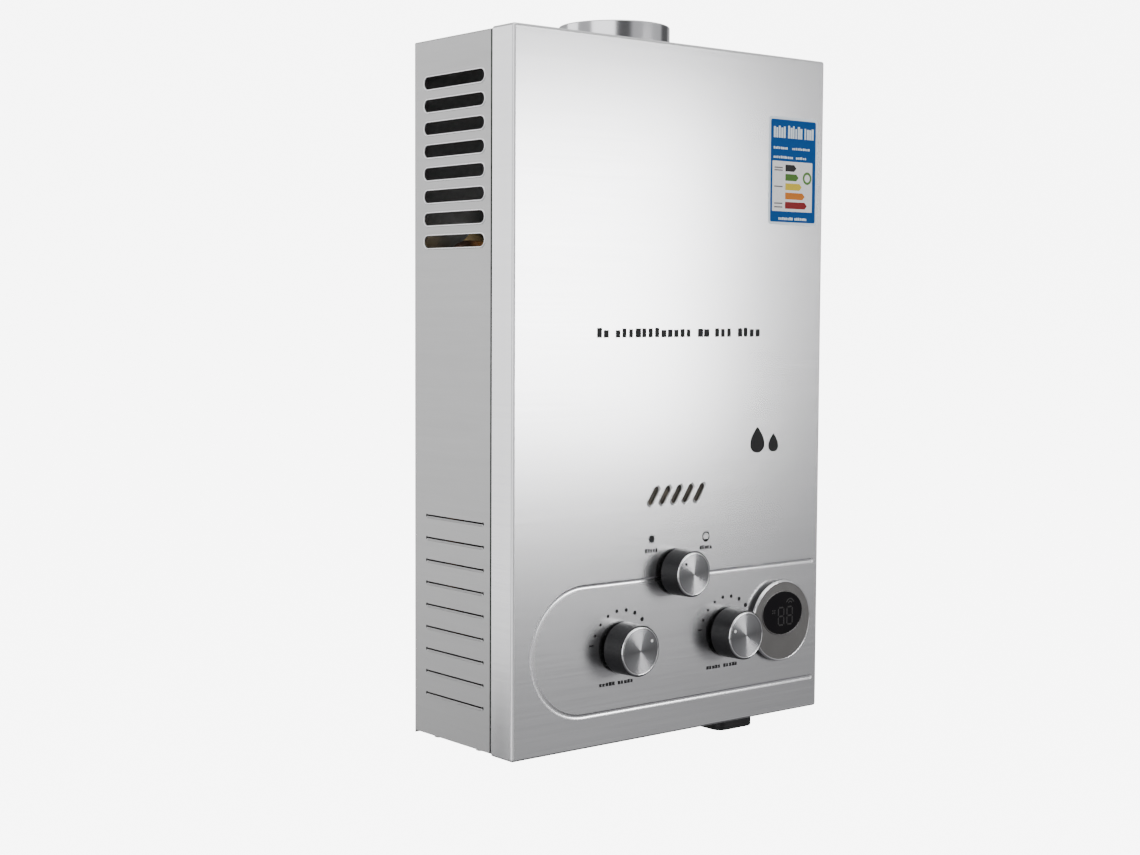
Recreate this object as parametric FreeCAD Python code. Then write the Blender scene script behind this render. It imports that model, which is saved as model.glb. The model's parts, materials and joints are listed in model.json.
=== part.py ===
import FreeCAD, Part
import math
import os
from FreeCAD import Vector

# Wall-hung flue-type instantaneous gas water heater, about 8 litres a minute.
# Millimetres. X runs to the right of a person facing the heater, Y runs back to the
# wall and Z runs up. The origin is on the wall plane, at the middle of the width and
# level with the underside of the casing, so the casing fills Y from -depth to 0.
# Cutting shapes run one or two millimetres past the faces they cut.

# ---- Casing -------------------------------------------------------------------------
width = 300.0
height = 500.0
depth = 118.0
sheet = 0.8                 # casing sheet
nest_gap = 0.2              # between the front cover and the rear case inside it
cover_lip = 23.5            # how far the cover wraps back
cover_overlap = 12.0        # how far the rear case reaches into the cover
cover_edge_r = 2.0          # outer radius of the cover's pressed edges
floor_flange = 14.0         # inward flange that carries the bottom plate
vent_count = 8
vent_pitch = 16.0
vent_length = 72.0
vent_height = 8.5
vent_from_front = 34.0      # front face to the near end of a vent
vent_top_drop = 31.4        # casing top to the middle of the top vent
louver_count = 9
louver_pitch = 16.15
louver_length = 68.0
louver_height = 1.6
louver_from_front = 34.8
louver_first_z = 31.6
plate_screw_back = 20.0     # wall to the rear screws of the bottom plate
plate_screw_front = 71.0    # wall to its front screws
wall_hole_r = 3.5
wall_hole_inset = 40.0      # side of the casing to a wall hole's centre
wall_hole_rise = 12.0       # top and bottom of the casing to a wall hole's centre

# ---- Front cover details ------------------------------------------------------------
groove_width = 3.8
groove_floor = 1.6
groove_depth = 1.0
groove_low_z = 23.5
groove_high_z = 115.1
groove_left_x = -132.7
groove_right_inset = 7.0
flame_slot_count = 5
flame_slot_pitch = 11.2
flame_slot_low_z = 169.0
flame_slot_high_z = 182.0
flame_slot_lean = 5.7
flame_slot_r = 2.2
flame_flange = 1.8          # depth of the turned-in rim behind each slot
flame_rim = 0.7
spindle_hole_r = 7.0

# ---- Screws -------------------------------------------------------------------------
screw_r = 1.9
screw_length = 8.0
screw_head_r = 3.9
screw_head_h = 2.2
screw_gap = 0.1             # hole radius over screw radius
screw_lip_inset = 6.0       # rear edge of the cover's lip to a cover screw
screw_side_inset = 30.0

# ---- Flue ---------------------------------------------------------------------------
flue_r = 41.5
flue_wall = 0.6
flue_y = -44.5
flue_rise = 19.0            # casing top to the top of the collar's bead
flue_bead_r = 1.0
flue_flange_r = 51.0
flue_screw_circle_r = 46.6
flue_step_rise = 0.3         # casing top to the step where the collar narrows
flue_tail_step = 0.5         # how much narrower the collar is below that step
hood_neck_gap = 0.3
hood_neck_overlap = 14.0    # how far the hood's neck runs up inside the collar
hood_throat_drop = 48.0     # casing top to the foot of the neck
hood_wall = 0.6
hood_skirt = 12.0
hood_skirt_gap = 0.2
hood_shoulder = 2.0         # chamber top to where the hood starts to narrow
collar_tail = 16.0          # how far the collar hangs below the casing top

# ---- Combustion chamber, heat exchanger ---------------------------------------------
chamber_half = 90.0
chamber_back_y = -16.0
chamber_depth = 82.0
chamber_low_z = 178.0
chamber_rise = 196.0
chamber_wall = 0.8
tube_r = 6.5
tube_wall = 0.8
tube_gap = 0.1              # hole over tube
run_count = 5
run_pitch = 15.5
run_inset = 10.0            # chamber front to the first run
run_turn_out = 3.0          # chamber side to the start of a return bend
run_drop = 22.0             # chamber top to the tube axes
fin_count = 38
fin_pitch = 4.6
fin_thickness = 0.5
fin_height = 38.0
fin_side_gap = 1.0
coil_turns = 3
coil_first_rise = 22.0      # chamber bottom to the first turn
coil_pitch = 35.0
coil_gap = 1.2
coil_bend = 10.0
coil_start_y = -57.0        # lower end of the coil, where the riser meets it
coil_start_z = 125.0
coil_end_drop = 5.0         # last turn to where its tube turns up beside the chamber
pipe_bend = 12.0
union_length = 12.0
union_flats = 24.0
run_end_overhang = 20.0     # chamber side to the open ends of the exchanger's tube
riser_reach = 18.0          # further sideways, to the upright pipes beside it
bracket_width = 20.0
bracket_height = 10.0
bracket_sheet = 1.5
bracket_x = 60.0
bracket_levels = [3.0, 132.0]

# ---- Burner -------------------------------------------------------------------------
frame_height = 32.0
frame_sheet = 1.0
bar_count = 7
bar_pitch = 24.0
bar_width = 10.0
bar_drop = 6.0              # chamber bottom to the top of the bars
bar_depth = 22.0
bar_wall = 0.6
port_count = 18
port_width = 1.2
port_depth = 2.5
mouth_depth = 20.0
mouth_r = 4.0
mouth_drop = 42.0           # chamber bottom to the mouths' axis
mouth_setback = 10.0
mouth_half = 9.0            # half the height of a bar's mouth
throat_length = 30.0        # mouth to where the bar's underside starts to rise
heel_length = 34.0
heel_drop = 14.0
port_margin = 1.0
nozzle_r = 3.2
nozzle_shank_r = 2.0
nozzle_length = 6.0
nozzle_bore_r = 0.6
manifold_side = 14.0
manifold_wall = 1.6
manifold_overhang = 8.0
manifold_gap = 2.0          # nozzle tip to burner mouth
ear_width = 14.0
ear_sheet = 1.5

# ---- Controls -----------------------------------------------------------------------
knob_x = 52.0               # the two lower knobs stand this far either side of the middle
knob_z = 69.0
season_z = 119.0
knob_r = 18.7
season_knob_r = 17.2
knob_length = 17.4
season_knob_length = 16.0
knob_standoff = 3.0
knob_draft = 0.5
face_inset = 1.1            # knob rim left round the metal face
face_proud = 0.8
face_seat = 1.4
face_edge = 1.2
spindle_r = 4.0
spindle_end_r = 3.0
spindle_flat = 0.8
spindle_clearance = 0.05
spindle_end_length = 12.0
spindle_end_margin = 0.3    # left ahead of the spindle in the knob's hub
knob_edge = 0.6
hub_rim = 1.0
knob_wall = 1.6
hub_r = 6.5

# ---- Gas and water valves -----------------------------------------------------------
rod_y = -55.0
rod_r = 3.0
rod_stroke = 4.0
gas_body = (46.0, 46.0, 48.0)
gas_body_x = -76.0
gas_body_front = -82.0
gas_body_z = 48.0
gas_corner_r = 5.0
gas_port_depth = 8.0
solenoid_rise = 3.0         # rod's axis to the solenoid's
solenoid_edge = 2.0
transfer_y = -60.0          # where the transfer pipe leaves the gas valve
transfer_r = 6.0
transfer_wall = 1.0
transfer_bend = 10.0
boss_r = 9.0
boss_length = 8.0
spindle_seat = 22.0
spindle_end_gap = 2.0       # spindle end to the bottom of its seat
solenoid_r = 11.0
solenoid_length = 28.0
water_body = (29.0, 42.0, 54.0)
water_body_x = 37.0
water_body_front = -75.0
water_body_z = 38.0
water_corner_r = 4.0
water_boss_extra = 7.0      # the water valve's boss is longer than the gas valve's
water_in_depth = 12.0
water_out_depth = 8.0
diaphragm_r = 23.0
diaphragm_seat = 8.0
diaphragm_t = 1.5
dome_depth = 9.5
dome_cavity_r = 15.5
dome_floor = 2.7
dome_boss_r = 8.0
dome_boss_length = 10.0
dome_screw_count = 6
dome_screw_circle_r = 19.5
dome_screw_tip = 2.0        # front of the water valve's block to the screws' tips
dome_screw_head_r = 3.2
rod_head_r = 10.0
rod_head_t = 1.6
rod_head_gap = 0.5
rod_tip_reach = 10.0        # rod inside the gas valve at rest
rod_end_gap = 3.0           # left ahead of the rod's tip when it is pushed home
collar_x = -10.0
collar_r = 7.0
collar_t = 3.0
lever_gap = 0.3
lever_t = 0.8
lever_arm = 11.0            # pivot above the top of the rod's collar
lever_width = 6.0
lever_overrun = 3.4
pivot_r = 1.0
pivot_hub_r = 2.0
switch_width = 12.0
switch_ear = 1.5
switch_height = 14.0
switch_setback = 2.4
switch_drop = 5.0           # pivot to the underside of the switch
ear_half_height = 3.0
ear_margin = 0.6
hub_end_gap = 0.2
cock_half = 13.0
cock_setback = 2.0          # manifold's front to the cock's front
cock_corner_r = 4.0
cock_depth = 19.0
cock_seat = 15.0
cock_height = 22.0
drain_x = 22.0
drain_r = 7.0
drain_arm_r = 3.5
drain_top_z = 44.5
drain_low_z = -12.0
drain_stem_r = 3.0
drain_stem_length = 11.0
drain_stem_gap = 1.0        # left above the stem in its bore
handle_t = 3.6
handle_length = 25.0
handle_width = 8.0
handle_corner_r = 2.5
handle_gap = 0.3            # between the cock's body and its handle

# ---- Pipe stubs ---------------------------------------------------------------------
stub_y = -45.0
hot_x = -90.0
thread_r = 10.48            # G 1/2 outside radius
thread_length = 15.0
stub_drop = 19.0            # underside of the casing to the end of the thread
stub_neck_r = 11.2           # plain part that passes through the plate and the lock nut
stub_bore_r = 7.0
stub_tube_r = 9.0
stub_flats = 27.0
stub_hex_h = 8.0
stub_chamfer = 0.8
lock_nut_gap = 0.06
hot_stub_top = 24.0
hot_drop_x = -132.0         # the upright run of the hot pipe
hot_drop_z = 80.0           # where it starts to lean back to its stub
hot_lean = 14.0             # above the stub's top
riser_lead = 2.0            # straight tube between the water valve and the first bend
plate_hole_gap = 0.3

# ---- Electrics ----------------------------------------------------------------------
cell_r = 17.1
cell_length = 61.5
cell_gap = 0.4              # beside each cell
cell_end_gap = 0.2          # in front of the first cell and behind the last
cell_cap_r = 4.5
cell_cap_h = 1.5
cell_edge = 1.2
cell_rest_gap = 0.2         # between the door's contact and the cells
contact_t = 0.5
contact_half = 8.0
contact_inset = 10.0
cell_space = 0.6            # between the two cells
battery_wall = 1.8
battery_corner_r = 8.0
battery_inset = 61.5        # casing side to the middle of the battery box
battery_setback = 25.0      # front panel to the battery box
battery_drop = 14.4         # underside of the casing to the underside of the door
battery_flange = 4.0
battery_flange_left = 1.0   # narrower beside the cold inlet
battery_flange_t = 2.0
spring_r = 5.0
spring_wire_r = 0.5
spring_turns = 4
spring_height = 7.0
spring_gap = 0.1            # at each end of a spring
door_t = 2.5
door_gap = 0.3
door_pin_r = 1.5
door_knuckle_r = 2.6
door_axis_gap = 0.4         # between the knuckles and the box, and above the door's top
door_pin_half = 17.0
door_hub_half = 10.5
door_ear_x = 14.0
door_ear_width = 6.0
door_arm_reach = 3.0        # how far the door's arm laps over the door
door_arm_rise = 1.0         # arm's underside above the door's
door_edge = 1.375
display_inset = 44.0        # casing side to the middle of the display
display_z = 72.2
bezel_r = 31.0
bezel_t = 5.0
bezel_edge = 1.5
bezel_boss_r = 23.0
bezel_boss_length = 6.0
bezel_boss_wall = 1.8
lens_half_x = 21.3
lens_half_z = 16.5
lens_rise = 6.0             # the lens sits above the middle of the bezel
lens_t = 1.8
lens_proud = 0.4
lens_edge = 0.32
lens_gap = 0.1
board_half_x = 20.0
board_half_z = 15.0
board_t = 1.6
module_half = 12.0          # the display module on the board
module_below = 7.0
module_above = 9.0
module_t = 5.0
igniter = (36.0, 40.0, 80.0)
igniter_low_z = 180.0
igniter_back_y = -55.0
igniter_edge = 2.0
electrode_xs = [28.0, 42.0]
electrode_rise = 6.0        # chamber bottom to the electrodes
electrode_plate_t = 1.2
electrode_plate_margin = 8.0
electrode_plate_below = 9.0
electrode_plate_above = 6.0
ceramic_r = 3.5
ceramic_length = 14.0
ceramic_outside = 6.0
needle_r = 1.0
needle_reach = 18.0
needle_hook = 6.0
needle_bend = 3.0
needle_seat = 2.0           # needle inside its ceramic
lead_r = 1.4
lead_bend = 5.0
lead_tight_bend = 4.0

# Where each lead enters the igniter box, from the box's left end
socket_display = 3.0
socket_spark = 8.0
socket_flame = 18.0
socket_switch = 22.0
socket_cells = 28.0
socket_row_y = -70.0
socket_switch_y = -61.0
socket_electrode_depth = 30.0   # igniter's back to the sockets of the electrode leads

# Corners of the leads, measured from the piece that each one leaves or reaches
flame_lead_out = 6.0
flame_lead_bulge = 6.5
flame_lead_side = 14.0
flame_lead_drops = (16.0, 26.0)
spark_lead_out = 7.0
spark_lead_drops = (14.0, 18.0)
cells_lead_y = -30.0
cells_lead_rises = (16.0, 34.0)
cells_lead_side = 5.0
cells_lead_drop = 20.0
switch_lead_rises = (8.0, 14.0, 30.0)
switch_lead_side = 4.0
switch_lead_ys = (-28.0, -24.0)
switch_lead_drop = 15.0
display_lead_side = 10.0
display_lead_up = 8.0
display_lead_back = 8.0
display_lead_drops = (30.0, 14.0)
thermostat_r = 8.0
thermostat_h = 6.0
thermostat_z = 315.0
thermostat_tab = 5.0        # each mounting tab sticks out this far
thermostat_tab_t = 1.0
thermostat_tab_half = 4.0
blade_x = 4.0
blade_t = 0.8
blade_length = 6.0
blade_half = 3.0
sensor_clip_t = 1.0
sensor_clip_h = 10.0
sensor_z = 300.0
probe_r = 3.5
probe_length = 6.0
mica_t = 0.5
mica_margin = 5.0

# ---- Places worked out from the sizes above -----------------------------------------
front_y = -depth
inside_front_y = front_y + sheet
lip_y = front_y + cover_lip
case_half = width / 2 - sheet - nest_gap
case_inner = case_half - sheet
case_front_y = lip_y - cover_overlap
case_top_z = height - sheet - nest_gap
plate_low_z = sheet + nest_gap
plate_top_z = plate_low_z + sheet
screw_y = lip_y - screw_lip_inset
screw_x = width / 2 - screw_side_inset
chamber_front_y = chamber_back_y - chamber_depth
chamber_top_z = chamber_low_z + chamber_rise
run_z = chamber_top_z - run_drop
run_ys = [chamber_front_y + run_inset + i * run_pitch for i in range(run_count)]
run_end_x = chamber_half + run_end_overhang
riser_x = run_end_x + riser_reach
coil_x = chamber_half + coil_gap + tube_r
coil_front_y = chamber_front_y - coil_gap - tube_r
coil_back_y = chamber_back_y + coil_gap + tube_r
frame_low_z = chamber_low_z - frame_height
bar_top_z = chamber_low_z - bar_drop
mouth_z = chamber_low_z - mouth_drop
mouth_y = chamber_front_y + mouth_setback
manifold_back_y = mouth_y - manifold_gap - nozzle_length
manifold_half = (bar_count - 1) * bar_pitch / 2 + manifold_overhang
manifold_low_z = mouth_z - manifold_side / 2
cock_top_z = manifold_low_z
cock_front_y = manifold_back_y - manifold_side + cock_setback
tail_r = flue_r - flue_tail_step
neck_r = tail_r - flue_wall - hood_neck_gap
neck_foot_z = height - hood_throat_drop
gas_right_x = gas_body_x + gas_body[0]
gas_top_z = gas_body_z + gas_body[2]
seat_x = water_body_x - diaphragm_seat
dome_right_x = seat_x - diaphragm_t
dome_left_x = dome_right_x - dome_depth
lever_x = collar_x - lever_gap - lever_t
pivot_z = knob_z + collar_r + lever_arm
switch_low_z = pivot_z - switch_drop
battery_x = width / 2 - battery_inset
battery_half_x = cell_r + cell_gap + battery_wall
battery_front_y = front_y + battery_setback
battery_long = 4 * cell_r + cell_space + 2 * battery_wall + 2 * cell_end_gap
battery_back_y = battery_front_y + battery_long
door_top_z = -battery_drop + door_t
cell_low_z = door_top_z + contact_t + cell_rest_gap
cell_top_z = cell_low_z + cell_length
battery_top_z = cell_top_z + spring_height + battery_wall
display_x = width / 2 - display_inset
bezel_front_y = front_y - bezel_t
electrode_z = chamber_low_z + electrode_rise
igniter_left_x = case_inner - igniter[0]


# ---- Shape helpers ------------------------------------------------------------------
def box(x0, x1, y0, y1, z0, z1):
    return Part.makeBox(x1 - x0, y1 - y0, z1 - z0, Vector(x0, y0, z0))


def rod_x(x0, x1, y, z, r):
    return Part.makeCylinder(r, x1 - x0, Vector(x0, y, z), Vector(1, 0, 0))


def rod_y_axis(x, y0, y1, z, r):
    return Part.makeCylinder(r, y1 - y0, Vector(x, y0, z), Vector(0, 1, 0))


def rod_z(x, y, z0, z1, r):
    return Part.makeCylinder(r, z1 - z0, Vector(x, y, z0), Vector(0, 0, 1))


def fused(first, others):
    return first.fuse(list(others)).removeSplitter()


def hexagon(centre, axis, flats, length, bore_r):
    """A hexagonal nut along a unit axis, bored through unless bore_r is 0."""
    corner = flats / math.sqrt(3)
    points = [Vector(corner * math.cos(a), corner * math.sin(a), 0)
              for a in [math.radians(60 * i) for i in range(6)]]
    nut = Part.Face(Part.makePolygon(points + points[:1])).extrude(Vector(0, 0, length))
    if bore_r:
        nut = nut.cut(Part.makeCylinder(bore_r, length + 2, Vector(0, 0, -1)))
    nut.Placement = FreeCAD.Placement(centre, FreeCAD.Rotation(Vector(0, 0, 1), axis))
    return nut


def stadium(start, end, r):
    """A flat slot outline in the XZ plane at y = 0, with half-round ends."""
    along = (end - start).normalize()
    side = Vector(-along.z, 0, along.x) * r
    ends = along * r
    lines = [Part.LineSegment(start + side, end + side).toShape(),
             Part.Arc(end + side, end + ends, end - side).toShape(),
             Part.LineSegment(end - side, start - side).toShape(),
             Part.Arc(start - side, start - ends, start + side).toShape()]
    return Part.Wire(lines)


def rounded_prism(x0, x1, y0, y1, z0, z1, r):
    prism = box(x0, x1, y0, y1, z0, z1)
    uprights = [e for e in prism.Edges if abs(e.BoundBox.ZLength - (z1 - z0)) < 1e-6]
    return prism.makeFillet(r, uprights)


def screw(tip, axis, length, head_r=screw_head_r, head_h=screw_head_h, shank_r=screw_r):
    """A pan-head screw: tip is where the shank ends, axis points from tip to head."""
    shank = Part.makeCylinder(shank_r, length, tip, axis)
    head_foot = tip + axis * length
    head = Part.makeCylinder(head_r, head_h, head_foot, axis)
    crown = [e for e in head.Edges if (e.CenterOfMass - head_foot).dot(axis) > head_h - 1e-6]
    head = head.makeFillet(head_h * 0.4, crown[:1])
    return shank.fuse(head)


def bent_path(points, bend):
    """A wire of straight runs joined by tangent arcs of one radius."""
    edges = []
    at = points[0]
    for i in range(1, len(points) - 1):
        corner = points[i]
        back = (points[i - 1] - corner).normalize()
        on = (points[i + 1] - corner).normalize()
        half = back.getAngle(on) / 2
        reach = bend / math.tan(half)
        first = corner + back * reach
        last = corner + on * reach
        middle = corner + (back + on).normalize() * (bend / math.sin(half) - bend)
        edges.append(Part.LineSegment(at, first).toShape())
        edges.append(Part.Arc(first, middle, last).toShape())
        at = last
    edges.append(Part.LineSegment(at, points[-1]).toShape())
    return Part.Wire(edges)


def swept(wire, r, inner_r=0.0):
    """A round bar or tube along a wire that starts with a straight run."""
    start = wire.Edges[0]
    foot = start.valueAt(start.FirstParameter)
    way = start.tangentAt(start.FirstParameter)
    bar = wire.makePipe(Part.Face(Part.Wire(Part.makeCircle(r, foot, way))))
    if not inner_r:
        return bar
    return bar.cut(wire.makePipe(Part.Face(Part.Wire(Part.makeCircle(inner_r, foot, way)))))


def points(*rows):
    return [Vector(*row) for row in rows]


# ---- Casing -------------------------------------------------------------------------
def case_screw_tips():
    """Tip and direction of every casing screw: cover, bottom plate, then flue collar."""
    down = Vector(0, 0, -1)
    up = Vector(0, 0, 1)
    rows = []
    for side in (-1, 1):
        rows.append((Vector(side * screw_x, screw_y, screw_length), down))
        rows.append((Vector(side * screw_x, screw_y, height - screw_length), up))
    flange_x = case_inner - floor_flange / 2
    for side in (-1, 1):
        for y in plate_screw_ys():
            rows.append((Vector(side * flange_x, y, plate_low_z + screw_length), down))
    for i in range(4):
        a = math.radians(45 + 90 * i)
        x = flue_screw_circle_r * math.cos(a)
        y = flue_y + flue_screw_circle_r * math.sin(a)
        rows.append((Vector(x, y, case_top_z - screw_length), up))
    return rows


def plate_screw_ys():
    return [-plate_screw_back, -plate_screw_front]


def case_screws():
    return Part.Compound([screw(tip, way, screw_length) for tip, way in case_screw_tips()])


def screw_holes(reach=3.0):
    """Clearance holes for the casing screws, cut through whatever sheets they cross."""
    holes = []
    for tip, way in case_screw_tips():
        holes.append(Part.makeCylinder(screw_r + screw_gap, screw_length + reach, tip - way, way))
    return holes


def side_slots(first_z, pitch, count, from_front, length, slot_height):
    """Slots through both sides of the casing."""
    slots = []
    y0 = front_y + from_front
    r = slot_height / 2
    for i in range(count):
        z = first_z + i * pitch
        outline = stadium(Vector(y0 + r, 0, z), Vector(y0 + length - r, 0, z), r)
        cutter = Part.Face(outline).extrude(Vector(0, width + 2, 0))
        cutter.rotate(Vector(0, 0, 0), Vector(0, 0, 1), 90)
        cutter.translate(Vector(width / 2 + 1, 0, 0))
        slots.append(cutter)
    return slots


def wall_hole_centres():
    x = width / 2 - wall_hole_inset
    return [(s * x, z) for s in (-1, 1) for z in (wall_hole_rise, height - wall_hole_rise)]


def rear_case():
    outer = box(-case_half, case_half, case_front_y, 0, 0, case_top_z)
    top_edges = [e for e in outer.Edges if e.BoundBox.ZMin > case_top_z - 1e-6
                 and e.BoundBox.YLength > 1]
    outer = outer.makeFillet(cover_edge_r - sheet, top_edges)
    inner = box(-case_inner, case_inner, case_front_y - 1, -sheet, -1, case_top_z - sheet)
    foot = box(-width, width, case_front_y - 1, -sheet, -1, plate_top_z)
    case = outer.cut([inner, foot])
    ring = box(-case_inner, case_inner, case_front_y, -sheet, plate_top_z, plate_top_z + sheet)
    open_floor = box(-case_inner + floor_flange, case_inner - floor_flange, case_front_y - 1,
                     -sheet - floor_flange, 0, plate_top_z + 2)
    case = case.fuse(ring.cut(open_floor))
    vent_low_z = height - vent_top_drop - (vent_count - 1) * vent_pitch
    cuts = side_slots(vent_low_z, vent_pitch, vent_count, vent_from_front, vent_length, vent_height)
    cuts += side_slots(louver_first_z, louver_pitch, louver_count, louver_from_front,
                       louver_length, louver_height)
    cuts += [rod_y_axis(x, -sheet - 1, 1, z, wall_hole_r) for x, z in wall_hole_centres()]
    cuts.append(rod_z(0, flue_y, case_top_z - 2, height, flue_r + plate_hole_gap))
    return case.cut(cuts + screw_holes())


def bottom_plate():
    half = case_inner - plate_hole_gap
    plate = box(-half, half, case_front_y, -sheet - plate_hole_gap, plate_low_z, plate_top_z)
    holes = [rod_z(x, stub_y, -5, 5, stub_neck_r + plate_hole_gap) for x in stub_xs()]
    holes.append(rod_z(drain_x, stub_y, -5, 5, drain_r + plate_hole_gap))
    gap = plate_hole_gap
    holes.append(rounded_prism(battery_x - battery_half_x - gap, battery_x + battery_half_x + gap,
                               battery_front_y - gap, battery_back_y + gap, -5, 5,
                               battery_corner_r))
    return plate.cut(holes + screw_holes())


def pressed_shell(inset, edge_r):
    """The cover's outline as a block with rounded front edges, shrunk by inset."""
    block = box(-width / 2 + inset, width / 2 - inset, front_y + inset, lip_y + inset * 2,
                inset, height - inset)
    back = lip_y + inset * 2
    edges = [e for e in block.Edges
             if not (abs(e.BoundBox.YMin - back) < 1e-6 and abs(e.BoundBox.YMax - back) < 1e-6)]
    return block.makeFillet(edge_r, edges)


def groove_outline(y, across):
    """Outline of the pressed groove: two level lines joined by a half circle at the left."""
    r = (groove_high_z - groove_low_z) / 2
    h = across / 2
    cx = groove_left_x + r
    cz = (groove_high_z + groove_low_z) / 2
    end = width / 2 - groove_right_inset
    top, low = groove_high_z, groove_low_z
    edges = [Part.LineSegment(Vector(end, y, top + h), Vector(cx, y, top + h)).toShape(),
             Part.Arc(Vector(cx, y, top + h), Vector(cx - r - h, y, cz),
                      Vector(cx, y, low - h)).toShape(),
             Part.LineSegment(Vector(cx, y, low - h), Vector(end, y, low - h)).toShape(),
             Part.Arc(Vector(end, y, low - h), Vector(end + h, y, low),
                      Vector(end, y, low + h)).toShape(),
             Part.LineSegment(Vector(end, y, low + h), Vector(cx, y, low + h)).toShape(),
             Part.Arc(Vector(cx, y, low + h), Vector(cx - r + h, y, cz),
                      Vector(cx, y, top - h)).toShape(),
             Part.LineSegment(Vector(cx, y, top - h), Vector(end, y, top - h)).toShape(),
             Part.Arc(Vector(end, y, top - h), Vector(end + h, y, top),
                      Vector(end, y, top + h)).toShape()]
    return Part.Wire(edges)


def flame_slot_ends():
    """Lower and upper end centres of the leaning slots that show the flame."""
    rows = []
    for i in range(flame_slot_count):
        x = (i - (flame_slot_count - 1) / 2) * flame_slot_pitch
        low = Vector(x - flame_slot_lean / 2, 0, flame_slot_low_z + flame_slot_r)
        high = Vector(x + flame_slot_lean / 2, 0, flame_slot_high_z - flame_slot_r)
        rows.append((low, high))
    return rows


def front_cover():
    cover = pressed_shell(0.0, cover_edge_r).cut(pressed_shell(sheet, cover_edge_r - sheet))
    rib_y = front_y + sheet / 2
    rib = Part.Face(groove_outline(rib_y, groove_width + sheet))
    backing = [rib.extrude(Vector(0, groove_depth + sheet / 2, 0))]
    cuts = [Part.makeLoft([groove_outline(front_y - 0.2, groove_width + 0.4),
                           groove_outline(front_y + groove_depth, groove_floor)], True, True)]
    for low, high in flame_slot_ends():
        rim = Part.Face(stadium(low, high, flame_slot_r + flame_rim))
        rim.translate(Vector(0, rib_y, 0))
        backing.append(rim.extrude(Vector(0, sheet / 2 + flame_flange, 0)))
        hole = Part.Face(stadium(low, high, flame_slot_r))
        hole.translate(Vector(0, front_y - 1, 0))
        cuts.append(hole.extrude(Vector(0, sheet + flame_flange + 2, 0)))
    for x, z in ((-knob_x, knob_z), (knob_x, knob_z), (0, season_z)):
        cuts.append(rod_y_axis(x, front_y - 1, front_y + 5, z, spindle_hole_r))
    cuts.append(rod_y_axis(display_x, front_y - 1, front_y + 5, display_z,
                           bezel_boss_r + plate_hole_gap))
    return cover.fuse(backing).cut(cuts + screw_holes())


def mica_window():
    half = (flame_slot_count - 1) / 2 * flame_slot_pitch + flame_slot_lean / 2 + mica_margin
    y = inside_front_y + flame_flange
    return box(-half, half, y, y + mica_t, flame_slot_low_z - mica_margin,
               flame_slot_high_z + mica_margin)


# ---- Flue ---------------------------------------------------------------------------
def flue_collar():
    foot_z = height - collar_tail
    bead_z = height + flue_rise - flue_bead_r
    under_top_z = case_top_z - sheet
    step_z = case_top_z + flue_step_rise
    spigot = rod_z(0, flue_y, step_z, bead_z, flue_r)
    tail = rod_z(0, flue_y, foot_z, step_z, tail_r)
    flange = rod_z(0, flue_y, under_top_z - sheet, under_top_z, flue_flange_r)
    bores = [rod_z(0, flue_y, foot_z - 1, bead_z, tail_r - flue_wall),
             rod_z(0, flue_y, step_z + flue_wall, bead_z + 1, flue_r - flue_wall)]
    behind = box(-width, width, -sheet - nest_gap, 20, 0, height)
    bead = Part.makeTorus(flue_r - flue_bead_r, flue_bead_r, Vector(0, flue_y, bead_z))
    return spigot.fuse([tail, flange]).cut(bores + [behind] + screw_holes()).fuse(bead)


def hood_solid(inset, low_z, high_z):
    """Skirt and taper of the draft hood as one solid, shrunk by inset."""
    half = chamber_half + hood_skirt_gap + hood_wall - inset
    back = chamber_back_y + hood_skirt_gap + hood_wall - inset
    front = chamber_front_y - hood_skirt_gap - hood_wall + inset
    shoulder = chamber_top_z + hood_shoulder
    skirt = box(-half, half, front, back, low_z, shoulder)
    corners = [Vector(-half, front, shoulder), Vector(half, front, shoulder),
               Vector(half, back, shoulder), Vector(-half, back, shoulder)]
    foot = Part.makePolygon(corners + corners[:1])
    ring = Part.Wire(Part.makeCircle(neck_r - inset, Vector(0, flue_y, neck_foot_z)))
    taper = Part.makeLoft([foot, ring], True, False)
    solid = skirt.fuse(taper)
    if high_z > neck_foot_z:
        solid = solid.fuse(rod_z(0, flue_y, neck_foot_z, high_z, neck_r - inset))
    return solid


def draft_hood():
    low = chamber_top_z - hood_skirt
    outside = hood_solid(0.0, low, neck_foot_z)
    return outside.cut(hood_solid(hood_wall, low - 1, neck_foot_z + 1))


def hood_neck():
    """The rolled tube on top of the hood, which reaches up inside the collar."""
    high = height - collar_tail + hood_neck_overlap
    tube = rod_z(0, flue_y, neck_foot_z, high, neck_r)
    return tube.cut(rod_z(0, flue_y, neck_foot_z - 1, high + 1, neck_r - hood_wall))


# ---- Heat exchanger -----------------------------------------------------------------
def chamber_shell():
    outer = box(-chamber_half, chamber_half, chamber_front_y, chamber_back_y,
                chamber_low_z, chamber_top_z)
    w = chamber_wall
    inner = box(-chamber_half + w, chamber_half - w, chamber_front_y + w, chamber_back_y - w,
                chamber_low_z - 1, chamber_top_z + 1)
    holes = [rod_x(-chamber_half - 1, chamber_half + 1, y, run_z, tube_r + tube_gap)
             for y in run_ys]
    for x in electrode_xs:
        holes.append(rod_y_axis(x, chamber_front_y - 1, chamber_front_y + 3, electrode_z,
                                ceramic_r + tube_gap))
    return outer.cut([inner] + holes)


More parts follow.
